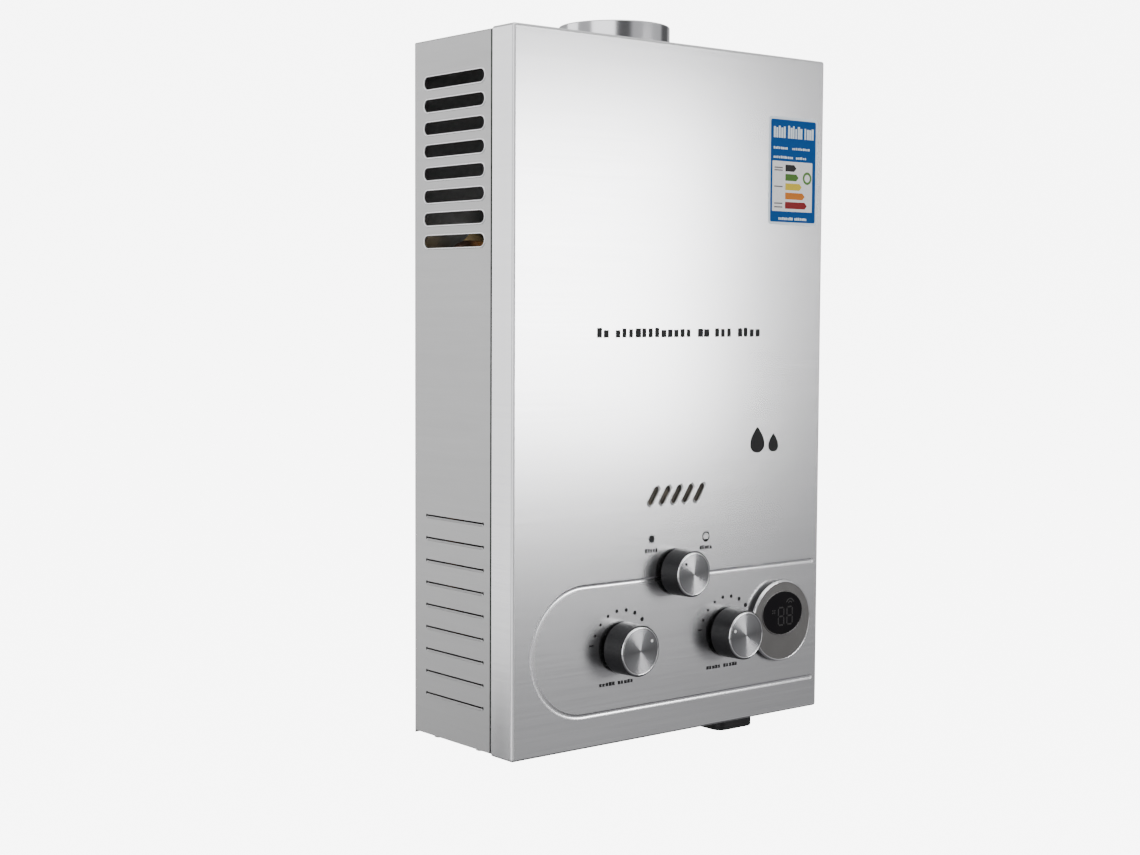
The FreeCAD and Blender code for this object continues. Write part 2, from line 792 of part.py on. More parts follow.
def exchanger_fins():
    side = chamber_wall + fin_side_gap
    first_x = -(fin_count - 1) / 2 * fin_pitch - fin_thickness / 2
    fin = box(first_x, first_x + fin_thickness, chamber_front_y + side, chamber_back_y - side,
              run_z - fin_height / 2, run_z + fin_height / 2)
    holes = [rod_x(first_x - 1, first_x + 2, y, run_z, tube_r + tube_gap / 2) for y in run_ys]
    fin = fin.cut(holes)
    fins = []
    for i in range(fin_count):
        copy = fin.copy()
        copy.translate(Vector(i * fin_pitch, 0, 0))
        fins.append(copy)
    return Part.Compound(fins)


def exchanger_tubes():
    """One tube that runs to and fro through the fins, with tight return bends."""
    turn_x = chamber_half + run_turn_out
    edges = []
    x = run_end_x
    for i, y in enumerate(run_ys):
        side = -1 if i % 2 == 0 else 1
        last = i == run_count - 1
        end_x = side * (run_end_x if last else turn_x)
        edges.append(Part.LineSegment(Vector(x, y, run_z), Vector(end_x, y, run_z)).toShape())
        if not last:
            bulge = Vector(end_x + side * run_pitch / 2, y + run_pitch / 2, run_z)
            edges.append(Part.Arc(Vector(end_x, y, run_z), bulge,
                                  Vector(end_x, y + run_pitch, run_z)).toShape())
        x = end_x
    return swept(Part.Wire(edges), tube_r, tube_r - tube_wall)


def chamber_coil():
    """The tube wound round the chamber, from the riser up to the exchanger."""
    z = chamber_low_z + coil_first_rise
    rows = points((coil_x, coil_start_y, coil_start_z), (coil_x, coil_start_y, z),
                  (coil_x, coil_back_y, z))
    for i in range(coil_turns):
        rows += points((-coil_x, coil_back_y, z), (-coil_x, coil_front_y, z),
                       (coil_x, coil_front_y, z))
        z += coil_pitch
        if i < coil_turns - 1:
            rows += points((coil_x, coil_back_y, z))
    rows += points((riser_x, run_ys[0], z - coil_end_drop), (riser_x, run_ys[0], run_z),
                   (run_end_x, run_ys[0], run_z))
    return swept(bent_path(rows, coil_bend), tube_r, tube_r - tube_wall)


def chamber_brackets():
    """Flanged brackets between the chamber's back and the casing."""
    brackets = []
    for side in (-1, 1):
        for level in bracket_levels:
            x0 = side * bracket_x - bracket_width / 2
            x1 = x0 + bracket_width
            z0 = chamber_low_z + level
            z1 = z0 + bracket_height
            t = bracket_sheet
            web = box(x0, x1, chamber_back_y, -sheet, z0, z0 + t)
            pads = [box(x0, x1, chamber_back_y, chamber_back_y + t, z0, z1),
                    box(x0, x1, -sheet - t, -sheet, z0, z1)]
            brackets.append(fused(web, pads))
    return Part.Compound(brackets)


# ---- Burner -------------------------------------------------------------------------
def bar_xs():
    return [(i - (bar_count - 1) / 2) * bar_pitch for i in range(bar_count)]


def burner_frame():
    t = frame_sheet
    outer = box(-chamber_half, chamber_half, chamber_front_y, chamber_back_y,
                frame_low_z, chamber_low_z)
    inner = box(-chamber_half + t, chamber_half - t, chamber_front_y + t, chamber_back_y - t,
                frame_low_z - 1, chamber_low_z + 1)
    return outer.cut(inner)


def burner_bar():
    """One stainless burner bar: a slotted top and a mixing throat at the front."""
    front = chamber_front_y + frame_sheet
    back = chamber_back_y - frame_sheet
    low = bar_top_z - bar_depth
    half = bar_width / 2
    profile = points((-half, front, bar_top_z), (-half, back, bar_top_z), (-half, back, low),
                     (-half, back - heel_length, low - heel_drop),
                     (-half, mouth_y + throat_length, mouth_z - mouth_half),
                     (-half, mouth_y, mouth_z - mouth_half), (-half, mouth_y, mouth_z + mouth_half),
                     (-half, front, low))
    outline = Part.makePolygon(profile + profile[:1])
    bar = Part.Face(outline).extrude(Vector(bar_width, 0, 0))
    inside = Part.Face(outline.makeOffset2D(-bar_wall))
    inside.translate(Vector(bar_wall, 0, 0))
    step = (back - front) / (port_count + 1)
    cuts = [inside.extrude(Vector(bar_width - 2 * bar_wall, 0, 0)),
            rod_y_axis(0, mouth_y - 1, mouth_y + mouth_depth, mouth_z, mouth_r)]
    for i in range(port_count):
        y = front + (i + 1) * step
        cuts.append(box(-half + port_margin, half - port_margin, y - port_width / 2, y + port_width / 2,
                        bar_top_z - port_depth, bar_top_z + 1))
    return bar.cut(cuts)


def burner_bars():
    bar = burner_bar()
    bars = []
    for x in bar_xs():
        copy = bar.copy()
        copy.translate(Vector(x, 0, 0))
        bars.append(copy)
    return Part.Compound(bars)


def gas_manifold():
    y0 = manifold_back_y - manifold_side
    z1 = manifold_low_z + manifold_side
    w = manifold_wall
    outer = box(-manifold_half, manifold_half, y0, manifold_back_y, manifold_low_z, z1)
    inner = box(-manifold_half + w, manifold_half - w, y0 + w, manifold_back_y - w,
                manifold_low_z + w, z1 - w)
    holes = [rod_y_axis(x, manifold_back_y - w - 1, manifold_back_y + 1, mouth_z,
                        nozzle_shank_r + spindle_clearance) for x in bar_xs()]
    ears = []
    for side in (-1, 1):
        x0 = side * (manifold_half - ear_width / 2) - ear_width / 2
        ears.append(box(x0, x0 + ear_width, chamber_front_y - ear_sheet, chamber_front_y,
                        z1 - w, frame_low_z + ear_width))
    return outer.fuse(ears).cut([inner] + holes)


def gas_nozzles():
    nozzles = []
    for x in bar_xs():
        tip_y = manifold_back_y + nozzle_length
        shank = rod_y_axis(x, manifold_back_y - manifold_wall, manifold_back_y, mouth_z,
                           nozzle_shank_r)
        body = rod_y_axis(x, manifold_back_y, tip_y, mouth_z, nozzle_r)
        rim = [e for e in body.Edges if abs(e.CenterOfMass.y - tip_y) < 1e-6]
        body = body.makeChamfer(nozzle_r / 2, rim[:1])
        bore = rod_y_axis(x, manifold_back_y - 5, tip_y + 1, mouth_z, nozzle_bore_r)
        nozzles.append(shank.fuse(body).cut(bore))
    return Part.Compound(nozzles)


# ---- Control spindles and knobs -----------------------------------------------------
def spindle(x, z, seat_front_y, seat_depth):
    """A control spindle from the seat inside its valve out to its knob."""
    shoulder_y = front_y - knob_standoff
    tip_y = shoulder_y - spindle_end_length
    shank = rod_y_axis(x, shoulder_y, seat_front_y + seat_depth - spindle_end_gap, z, spindle_r)
    end = rod_y_axis(x, tip_y, shoulder_y, z, spindle_end_r)
    flat = box(x - spindle_r, x + spindle_r, tip_y - 1, shoulder_y,
               z + spindle_end_r - spindle_flat, z + spindle_r)
    return shank.fuse(end.cut(flat))


def knob(x, z, r, length):
    """A hollow plastic knob with a hub for the spindle and a seat for its metal face."""
    back_y = front_y - knob_standoff
    tip_y = back_y - length
    body = Part.makeCone(r, r - knob_draft, length, Vector(x, back_y, z), Vector(0, -1, 0))
    rim = [e for e in body.Edges if abs(e.CenterOfMass.y - tip_y) < 1e-6]
    body = body.makeFillet(knob_edge, rim[:1])
    hollow = rod_y_axis(x, tip_y + face_seat + knob_wall, back_y + 1, z,
                        r - knob_draft - knob_wall)
    hub = rod_y_axis(x, tip_y + face_seat, back_y, z, hub_r)
    seat = rod_y_axis(x, tip_y - 1, tip_y + face_seat, z, r - knob_draft - face_inset)
    bore_r = spindle_end_r + spindle_clearance
    bore = rod_y_axis(x, back_y - spindle_end_length - spindle_end_margin, back_y + 1, z, bore_r)
    key = box(x - bore_r, x + bore_r, back_y - spindle_end_length, back_y,
              z + spindle_end_r - spindle_flat + spindle_clearance, z + hub_r - hub_rim)
    return body.cut(hollow).fuse(hub).cut([seat, bore]).fuse(key).removeSplitter()


def knob_face(x, z, r, length):
    """The turned metal disc in the front of a knob."""
    seat_y = front_y - knob_standoff - length + face_seat
    face_r = r - knob_draft - face_inset - spindle_clearance
    disc = rod_y_axis(x, seat_y - face_seat - face_proud, seat_y, z, face_r)
    front = seat_y - face_seat - face_proud
    rim = [e for e in disc.Edges if abs(e.CenterOfMass.y - front) < 1e-6]
    return disc.makeChamfer(face_edge, rim[:1])


# ---- Gas side -----------------------------------------------------------------------
def season_cock_body():
    body = box(-cock_half, cock_half, cock_front_y, cock_front_y + cock_depth,
               cock_top_z - cock_height, cock_top_z)
    bore = rod_y_axis(0, cock_front_y - 1, cock_front_y + cock_seat, season_z,
                      spindle_r + spindle_clearance)
    uprights = [e for e in body.Edges if abs(e.BoundBox.YLength - cock_depth) < 1e-6
                and e.CenterOfMass.z < cock_top_z - 1]
    return body.makeFillet(cock_corner_r, uprights).cut(bore)


def gas_valve_body():
    x1, y1 = gas_right_x, gas_body_front + gas_body[1]
    body = rounded_prism(gas_body_x, x1, gas_body_front, y1, gas_body_z, gas_top_z,
                         gas_corner_r)
    boss = rod_y_axis(-knob_x, gas_body_front - boss_length, gas_body_front, knob_z, boss_r)
    seat_front = gas_body_front - boss_length
    bores = [rod_y_axis(-knob_x, seat_front - 1, seat_front + spindle_seat, knob_z,
                        spindle_r + spindle_clearance),
             rod_x(x1 - rod_tip_reach - rod_stroke - rod_end_gap, x1 + 1, rod_y, knob_z,
                   rod_r + spindle_clearance),
             rod_z(-knob_x, stub_y, gas_body_z - 1, gas_body_z + gas_port_depth, stub_bore_r)]
    return body.fuse(boss).cut(bores)


def gas_solenoid():
    x1 = gas_body_x
    can = rod_x(x1 - solenoid_length, x1, rod_y, knob_z + solenoid_rise, solenoid_r)
    rim = [e for e in can.Edges if abs(e.CenterOfMass.x - (x1 - solenoid_length)) < 1e-6]
    return can.makeFillet(solenoid_edge, rim[:1])


def gas_transfer_pipe():
    cock_mid_y = cock_front_y + cock_depth / 2
    level = cock_top_z - cock_height / 2
    rows = points((-knob_x, transfer_y, gas_top_z), (-knob_x, transfer_y, level),
                  (-knob_x, cock_mid_y, level), (-cock_half, cock_mid_y, level))
    return swept(bent_path(rows, transfer_bend), transfer_r, transfer_r - transfer_wall)


# ---- Water side ---------------------------------------------------------------------
def dome_screw_spots():
    step = 2 * math.pi / dome_screw_count
    return [(rod_y + dome_screw_circle_r * math.cos(i * step + step / 2),
             knob_z + dome_screw_circle_r * math.sin(i * step + step / 2))
            for i in range(dome_screw_count)]


def dome_screws():
    tip_x = water_body_x - dome_screw_tip
    length = tip_x - dome_left_x
    return Part.Compound([screw(Vector(tip_x, y, z), Vector(-1, 0, 0), length, dome_screw_head_r)
                          for y, z in dome_screw_spots()])


def dome_screw_holes():
    end_x = water_body_x - dome_screw_tip + 0.5
    return [rod_x(dome_left_x - 1, end_x, y, z, screw_r + screw_gap)
            for y, z in dome_screw_spots()]


def water_valve_body():
    x1 = water_body_x + water_body[0]
    y1 = water_body_front + water_body[1]
    z1 = water_body_z + water_body[2]
    body = rounded_prism(water_body_x, x1, water_body_front, y1, water_body_z, z1,
                         water_corner_r)
    seat = rod_x(seat_x, water_body_x + 2, rod_y, knob_z, diaphragm_r)
    seat_front = water_body_front - boss_length - water_boss_extra
    boss = rod_y_axis(knob_x, seat_front, water_body_front, knob_z, boss_r)
    bores = [rod_y_axis(knob_x, seat_front - 1, seat_front + spindle_seat, knob_z,
                        spindle_r + spindle_clearance),
             rod_z(knob_x, stub_y, water_body_z - 1, water_body_z + water_in_depth,
                   stub_bore_r),
             rod_z(knob_x, stub_y, z1 - water_out_depth, z1 + 1, tube_r - tube_wall)]
    return body.fuse([seat, boss]).cut(bores + dome_screw_holes())


def diaphragm():
    return rod_x(dome_right_x, seat_x, rod_y, knob_z, diaphragm_r).cut(dome_screw_holes())


def diaphragm_cover():
    dome = rod_x(dome_left_x, dome_right_x, rod_y, knob_z, diaphragm_r)
    boss = rod_x(dome_left_x - dome_boss_length, dome_left_x, rod_y, knob_z, dome_boss_r)
    cavity = rod_x(dome_left_x + dome_floor, dome_right_x + 1, rod_y, knob_z, dome_cavity_r)
    bore = rod_x(dome_left_x - dome_boss_length - 1, dome_right_x, rod_y, knob_z,
                 rod_r + spindle_clearance)
    return dome.fuse(boss).cut([cavity, bore] + dome_screw_holes())


def push_rod():
    """The rod that the diaphragm drives into the gas valve, with the switch's collar."""
    head_x = dome_right_x - rod_head_gap
    stem = rod_x(gas_right_x - rod_tip_reach, head_x, rod_y, knob_z, rod_r)
    head = rod_x(head_x - rod_head_t, head_x, rod_y, knob_z, rod_head_r)
    ring = rod_x(collar_x, collar_x + collar_t, rod_y, knob_z, collar_r)
    return stem.fuse([head, ring])


def microswitch():
    """Switch block on the side of the gas valve, with two ears for the lever's pivot."""
    right = lever_x - switch_setback
    half = switch_width / 2
    body = box(gas_right_x, right, rod_y - half, rod_y + half, switch_low_z,
               switch_low_z + switch_height)
    ear_end = lever_x + lever_t / 2 + pivot_hub_r + ear_margin
    ears = [box(right, ear_end, y, y + switch_ear, pivot_z - ear_half_height,
                pivot_z + ear_half_height)
            for y in (rod_y - half, rod_y + half - switch_ear)]
    hole = rod_y_axis(lever_x + lever_t / 2, rod_y - half - 1, rod_y + half + 1, pivot_z,
                      pivot_r + spindle_clearance)
    return fused(body, ears).cut(hole)


def switch_lever():
    x = lever_x + lever_t / 2
    half = switch_width / 2
    pin = rod_y_axis(x, rod_y - half, rod_y + half, pivot_z, pivot_r)
    reach = half - switch_ear - hub_end_gap
    hub = rod_y_axis(x, rod_y - reach, rod_y + reach, pivot_z, pivot_hub_r)
    arm = box(lever_x, lever_x + lever_t, rod_y - lever_width / 2, rod_y + lever_width / 2,
              pivot_z - lever_arm - lever_overrun, pivot_z)
    return pin.fuse([hub, arm])


def drain_cock_body():
    tube = rod_z(drain_x, stub_y, drain_low_z, drain_top_z, drain_r)
    arm = rod_x(drain_x, water_body_x, stub_y, drain_top_z - drain_arm_r, drain_arm_r)
    bore = rod_z(drain_x, stub_y, drain_low_z - 1,
                 drain_low_z + drain_stem_length + drain_stem_gap,
                 drain_stem_r + spindle_clearance)
    return tube.fuse(arm).cut(bore)


def drain_cock_handle():
    top = drain_low_z - handle_gap
    stem = rod_z(drain_x, stub_y, top, drain_low_z + drain_stem_length, drain_stem_r)
    hub = rod_z(drain_x, stub_y, top - handle_t, top, drain_r)
    lever = rounded_prism(drain_x - handle_width / 2, drain_x + handle_width / 2, stub_y,
                          stub_y + handle_length, top - handle_t, top, handle_corner_r)
    return stem.fuse([hub, lever])


# ---- Pipes and stubs ----------------------------------------------------------------
def stub_xs():
    return [hot_x, -knob_x, knob_x]


def pipe_stub(x, top_z):
    """A threaded half-inch connection clamped in the bottom plate."""
    thread_top = -stub_drop + thread_length
    thread = rod_z(x, stub_y, -stub_drop, thread_top, thread_r)
    rim = [e for e in thread.Edges if abs(e.CenterOfMass.z + stub_drop) < 1e-6]
    thread = thread.makeChamfer(stub_chamfer, rim[:1])
    neck = rod_z(x, stub_y, thread_top, plate_top_z, stub_neck_r)
    collar = hexagon(Vector(x, stub_y, plate_top_z), Vector(0, 0, 1), stub_flats, stub_hex_h, 0)
    tube = rod_z(x, stub_y, plate_top_z, top_z, stub_tube_r)
    bore = rod_z(x, stub_y, -stub_drop - 1, top_z + 1, stub_bore_r)
    return thread.fuse([neck, collar, tube]).cut(bore)


def stub_lock_nuts():
    low = -stub_drop + thread_length
    return Part.Compound([hexagon(Vector(x, stub_y, low), Vector(0, 0, 1), stub_flats,
                                  plate_low_z - low, stub_neck_r + lock_nut_gap)
                          for x in stub_xs()])


def pipe_union_nuts():
    bore_r = tube_r + tube_gap
    half = union_length / 2
    return Part.Compound([
        hexagon(Vector(coil_x, coil_start_y, coil_start_z - half), Vector(0, 0, 1),
                union_flats, union_length, bore_r),
        hexagon(Vector(run_end_x - half, run_ys[0], run_z), Vector(1, 0, 0),
                union_flats, union_length, bore_r),
        hexagon(Vector(-run_end_x - half, run_ys[-1], run_z), Vector(1, 0, 0),
                union_flats, union_length, bore_r)])


def cold_riser():
    low = water_body_z + water_body[2]
    level = low + pipe_bend + riser_lead
    rows = points((knob_x, stub_y, low), (knob_x, stub_y, level),
                  (coil_x, coil_start_y, level), (coil_x, coil_start_y, coil_start_z))
    return swept(bent_path(rows, pipe_bend), tube_r, tube_r - tube_wall)


def hot_pipe():
    y = run_ys[-1]
    rows = points((-run_end_x, y, run_z), (hot_drop_x, y, run_z), (hot_drop_x, y, hot_drop_z),
                  (hot_x, stub_y, hot_stub_top + hot_lean), (hot_x, stub_y, hot_stub_top))
    return swept(bent_path(rows, pipe_bend), tube_r, tube_r - tube_wall)


# ---- Electrics ----------------------------------------------------------------------
def outlet_sensor():
    x, y = hot_drop_x, run_ys[-1]
    inner = tube_r + tube_gap
    outer = inner + sensor_clip_t
    ring = rod_z(x, y, sensor_z, sensor_z + sensor_clip_h, outer)
    probe = rod_y_axis(x, y - outer - probe_length, y - inner, sensor_z + sensor_clip_h / 2,
                       probe_r)
    return ring.fuse(probe).cut(rod_z(x, y, sensor_z - 1, sensor_z + sensor_clip_h + 1, inner))


def overheat_thermostat():
    y = chamber_front_y
    cup = rod_y_axis(0, y - thermostat_h, y, thermostat_z, thermostat_r)
    reach = thermostat_r + thermostat_tab
    tabs = box(-reach, reach, y - thermostat_tab_t, y, thermostat_z - thermostat_tab_half,
               thermostat_z + thermostat_tab_half)
    blades = [box(x - blade_t / 2, x + blade_t / 2, y - thermostat_h - blade_length,
                  y - thermostat_h, thermostat_z - blade_half, thermostat_z + blade_half)
              for x in (-blade_x, blade_x)]
    return cup.fuse([tabs] + blades)


def electrode_bracket():
    x0 = electrode_xs[0] - electrode_plate_margin
    x1 = electrode_xs[-1] + electrode_plate_margin
    plate = box(x0, x1, chamber_front_y - electrode_plate_t, chamber_front_y,
                electrode_z - electrode_plate_below, electrode_z + electrode_plate_above)
    return plate.cut([rod_y_axis(x, chamber_front_y - 5, chamber_front_y + 1, electrode_z,
                                 ceramic_r + spindle_clearance) for x in electrode_xs])


def electrodes():
    parts = []
    for x in electrode_xs:
        front = chamber_front_y - ceramic_outside
        back = front + ceramic_length
        ceramic = rod_y_axis(x, front, back, electrode_z, ceramic_r)
        rows = points((x, back - needle_seat, electrode_z), (x, back + needle_reach, electrode_z),
                      (x, back + needle_reach, electrode_z - needle_hook))
        needle = swept(bent_path(rows, needle_bend), needle_r)
        parts.append(ceramic.fuse(needle))
    return Part.Compound(parts)


def electrode_leads():
    front = chamber_front_y - ceramic_outside
    y = igniter_back_y - socket_electrode_depth
    flame_x, spark_x = electrode_xs
    flame_end = igniter_left_x + socket_flame
    spark_end = igniter_left_x + socket_spark
    first, low = [electrode_z - drop for drop in flame_lead_drops]
    out = front - flame_lead_out
    flame = points((flame_x, front, electrode_z), (flame_x, out, electrode_z),
                   (flame_x + flame_lead_side, front - flame_lead_bulge, first),
                   (flame_end, out, low), (flame_end, y, low), (flame_end, y, igniter_low_z))
    first, low = [electrode_z - drop for drop in spark_lead_drops]
    out = front - spark_lead_out
    spark = points((spark_x, front, electrode_z), (spark_x, out, electrode_z),
                   (spark_end, out, first), (spark_end, y, low), (spark_end, y, igniter_low_z))
    return Part.Compound([swept(bent_path(rows, lead_bend), lead_r) for rows in (flame, spark)])


def cells_lead():
    end = igniter_left_x + socket_cells
    first, high = [battery_top_z + rise for rise in cells_lead_rises]
    return points((battery_x, cells_lead_y, battery_top_z), (battery_x, cells_lead_y, first),
                  (end - cells_lead_side, cells_lead_y, high),
                  (end, socket_row_y, igniter_low_z - cells_lead_drop),
                  (end, socket_row_y, igniter_low_z))


def switch_lead():
    end = igniter_left_x + socket_switch
    x = (gas_right_x + lever_x - switch_setback) / 2
    top = switch_low_z + switch_height
    first, middle, high = [top + rise for rise in switch_lead_rises]
    near_y, far_y = switch_lead_ys
    return points((x, rod_y, top), (x, rod_y, first), (x + switch_lead_side, near_y, middle),
                  (coil_x, far_y, middle), (end, far_y, high),
                  (end, socket_switch_y, igniter_low_z - switch_lead_drop),
                  (end, socket_switch_y, igniter_low_z))


def display_lead():
    x = display_x - display_lead_side
    end = igniter_left_x + socket_display
    z = display_z + display_lead_up
    board_back = inside_front_y + bezel_boss_length + board_t - sheet
    first, last = [igniter_low_z - drop for drop in display_lead_drops]
    return points((x, board_back, z), (x, board_back + display_lead_back, z),
                  (x, board_back + display_lead_back, first), (end, socket_row_y, last),
                  (end, socket_row_y, igniter_low_z))


def control_leads():
    """Leads from the cells, the switch and the display to the igniter box."""
    return Part.Compound([swept(bent_path(rows, lead_tight_bend), lead_r)
                          for rows in (cells_lead(), switch_lead(), display_lead())])


def igniter_box():
    x0 = igniter_left_x
    y0 = igniter_back_y - igniter[1]
    block = box(x0, case_inner, y0, igniter_back_y, igniter_low_z, igniter_low_z + igniter[2])
    edges = [e for e in block.Edges if e.BoundBox.XMax < x0 + 1e-6]
    return block.makeFillet(igniter_edge, edges)


def battery_box():
    """A long box for two upright cells, open below, with a flange on the bottom plate."""
    half = battery_half_x
    wall = battery_wall
    low = door_top_z + door_gap
    outer = rounded_prism(battery_x - half, battery_x + half, battery_front_y, battery_back_y,
                          low, battery_top_z, battery_corner_r)
    inner = rounded_prism(battery_x - half + wall, battery_x + half - wall,
                          battery_front_y + wall, battery_back_y - wall,
                          low - 1, battery_top_z - wall, battery_corner_r - wall)
    flange = rounded_prism(battery_x - half - battery_flange_left, battery_x + half + battery_flange,
                           battery_front_y - battery_flange, battery_back_y + battery_flange,
                           plate_top_z, plate_top_z + battery_flange_t, battery_corner_r)
    shell = outer.fuse(flange).cut(inner)
    knuckle_y, knuckle_z = door_axis()
    ears = []
    for side in (-1, 1):
        x0 = battery_x + side * door_ear_x - door_ear_width / 2
        x1 = x0 + door_ear_width
        ear = rod_x(x0, x1, knuckle_y, knuckle_z, door_knuckle_r)
        lug = box(x0, x1, battery_back_y - wall, knuckle_y, low, knuckle_z + door_knuckle_r)
        ears.append(fused(ear, [lug]))
    bore = rod_x(battery_x - half, battery_x + half, knuckle_y, knuckle_z,
                 door_pin_r + spindle_clearance)
    return shell.fuse(ears).cut(bore)


def door_axis():
    """Y and Z of the battery door's hinge pin, behind and above the door."""
    return (battery_back_y + door_knuckle_r + door_axis_gap,
            door_top_z + door_knuckle_r + door_axis_gap)


def battery_door():
    half = battery_half_x
    low = door_top_z - door_t
    knuckle_y, knuckle_z = door_axis()
    lid = rounded_prism(battery_x - half, battery_x + half, battery_front_y, battery_back_y,
                        low, door_top_z, battery_corner_r)
    rim = [e for e in lid.Edges if e.BoundBox.ZMax < low + 1e-6]
    lid = lid.makeFillet(door_edge, rim)
    pin = rod_x(battery_x - door_pin_half, battery_x + door_pin_half, knuckle_y, knuckle_z,
                door_pin_r)
    x0 = battery_x - door_hub_half
    x1 = battery_x + door_hub_half
    hub = rod_x(x0, x1, knuckle_y, knuckle_z, door_knuckle_r)
    back = knuckle_y + door_knuckle_r
    arm = box(x0, x1, battery_back_y - door_arm_reach, back, low + door_arm_rise, door_top_z)
    web = box(x0, x1, battery_back_y + door_gap, back, low + door_arm_rise, knuckle_z)
    contact = box(battery_x - contact_half, battery_x + contact_half,
                  battery_front_y + contact_inset, battery_back_y - contact_inset,
                  door_top_z, door_top_z + contact_t)
    return fused(lid, [pin, hub, arm, web, contact])


def cell_ys():
    first = battery_front_y + battery_wall + cell_end_gap + cell_r
    return [first, first + 2 * cell_r + cell_space]


def battery_cells():
    cells = []
    for y in cell_ys():
        can = rod_z(battery_x, y, cell_low_z, cell_top_z - cell_cap_h, cell_r)
        ends = [e for e in can.Edges if e.BoundBox.ZLength < 1e-6]
        can = can.makeFillet(cell_edge, ends)
        cap = rod_z(battery_x, y, cell_top_z - cell_cap_h, cell_top_z, cell_cap_r)
        cells.append(can.fuse(cap))
    return Part.Compound(cells)


def battery_springs():
    """One coil spring for each cell, between its cap and the top of the box."""
    low = cell_top_z + spring_wire_r + spring_gap
    pitch = (spring_height - 2 * spring_wire_r - 2 * spring_gap) / spring_turns
    helix = Part.makeHelix(pitch, pitch * spring_turns, spring_r)
    section = Part.Wire(Part.makeCircle(spring_wire_r, Vector(spring_r, 0, 0), Vector(0, 1, 0)))
    coil = Part.Wire(helix.Edges).makePipeShell([section], True, True)
    springs = []
    for y in cell_ys():
        spring = coil.copy()
        spring.translate(Vector(battery_x, y, low))
        springs.append(spring)
    return Part.Compound(springs)


def ellipse_prism(half_x, half_z, y0, y1):
    curve = Part.Ellipse(Vector(0, 0, 0), half_x, half_z).toShape()
    face = Part.Face(Part.Wire(curve))
    prism = face.extrude(Vector(0, 0, y1 - y0))
    prism.rotate(Vector(0, 0, 0), Vector(1, 0, 0), -90)
    prism.translate(Vector(display_x, y0, display_z + lens_rise))
    return prism


def display_bezel():
    disc = rod_y_axis(display_x, bezel_front_y, front_y, display_z, bezel_r)
    rim = [e for e in disc.Edges if abs(e.CenterOfMass.y - bezel_front_y) < 1e-6]
    disc = disc.makeFillet(bezel_edge, rim[:1])
    boss = rod_y_axis(display_x, front_y, front_y + bezel_boss_length, display_z, bezel_boss_r)
    hollow = rod_y_axis(display_x, front_y - 1, front_y + bezel_boss_length + 1, display_z,
                        bezel_boss_r - bezel_boss_wall)
    pocket = ellipse_prism(lens_half_x + lens_gap, lens_half_z + lens_gap,
                           bezel_front_y - 1, bezel_front_y + lens_t)
    return disc.fuse(boss).cut([hollow, pocket])


def display_lens():
    lens = ellipse_prism(lens_half_x, lens_half_z, bezel_front_y - lens_proud,
                         bezel_front_y + lens_t)
    rim = [e for e in lens.Edges if e.BoundBox.YMax < bezel_front_y - lens_proud + 1e-6]
    return lens.makeFillet(lens_edge, rim[:1])


def display_board():
    y = front_y + bezel_boss_length
    board = box(display_x - board_half_x, display_x + board_half_x, y, y + board_t,
                display_z - board_half_z, display_z + board_half_z)
    module = box(display_x - module_half, display_x + module_half, y - module_t, y,
                 display_z - module_below, display_z + module_above)
    return board.fuse(module)


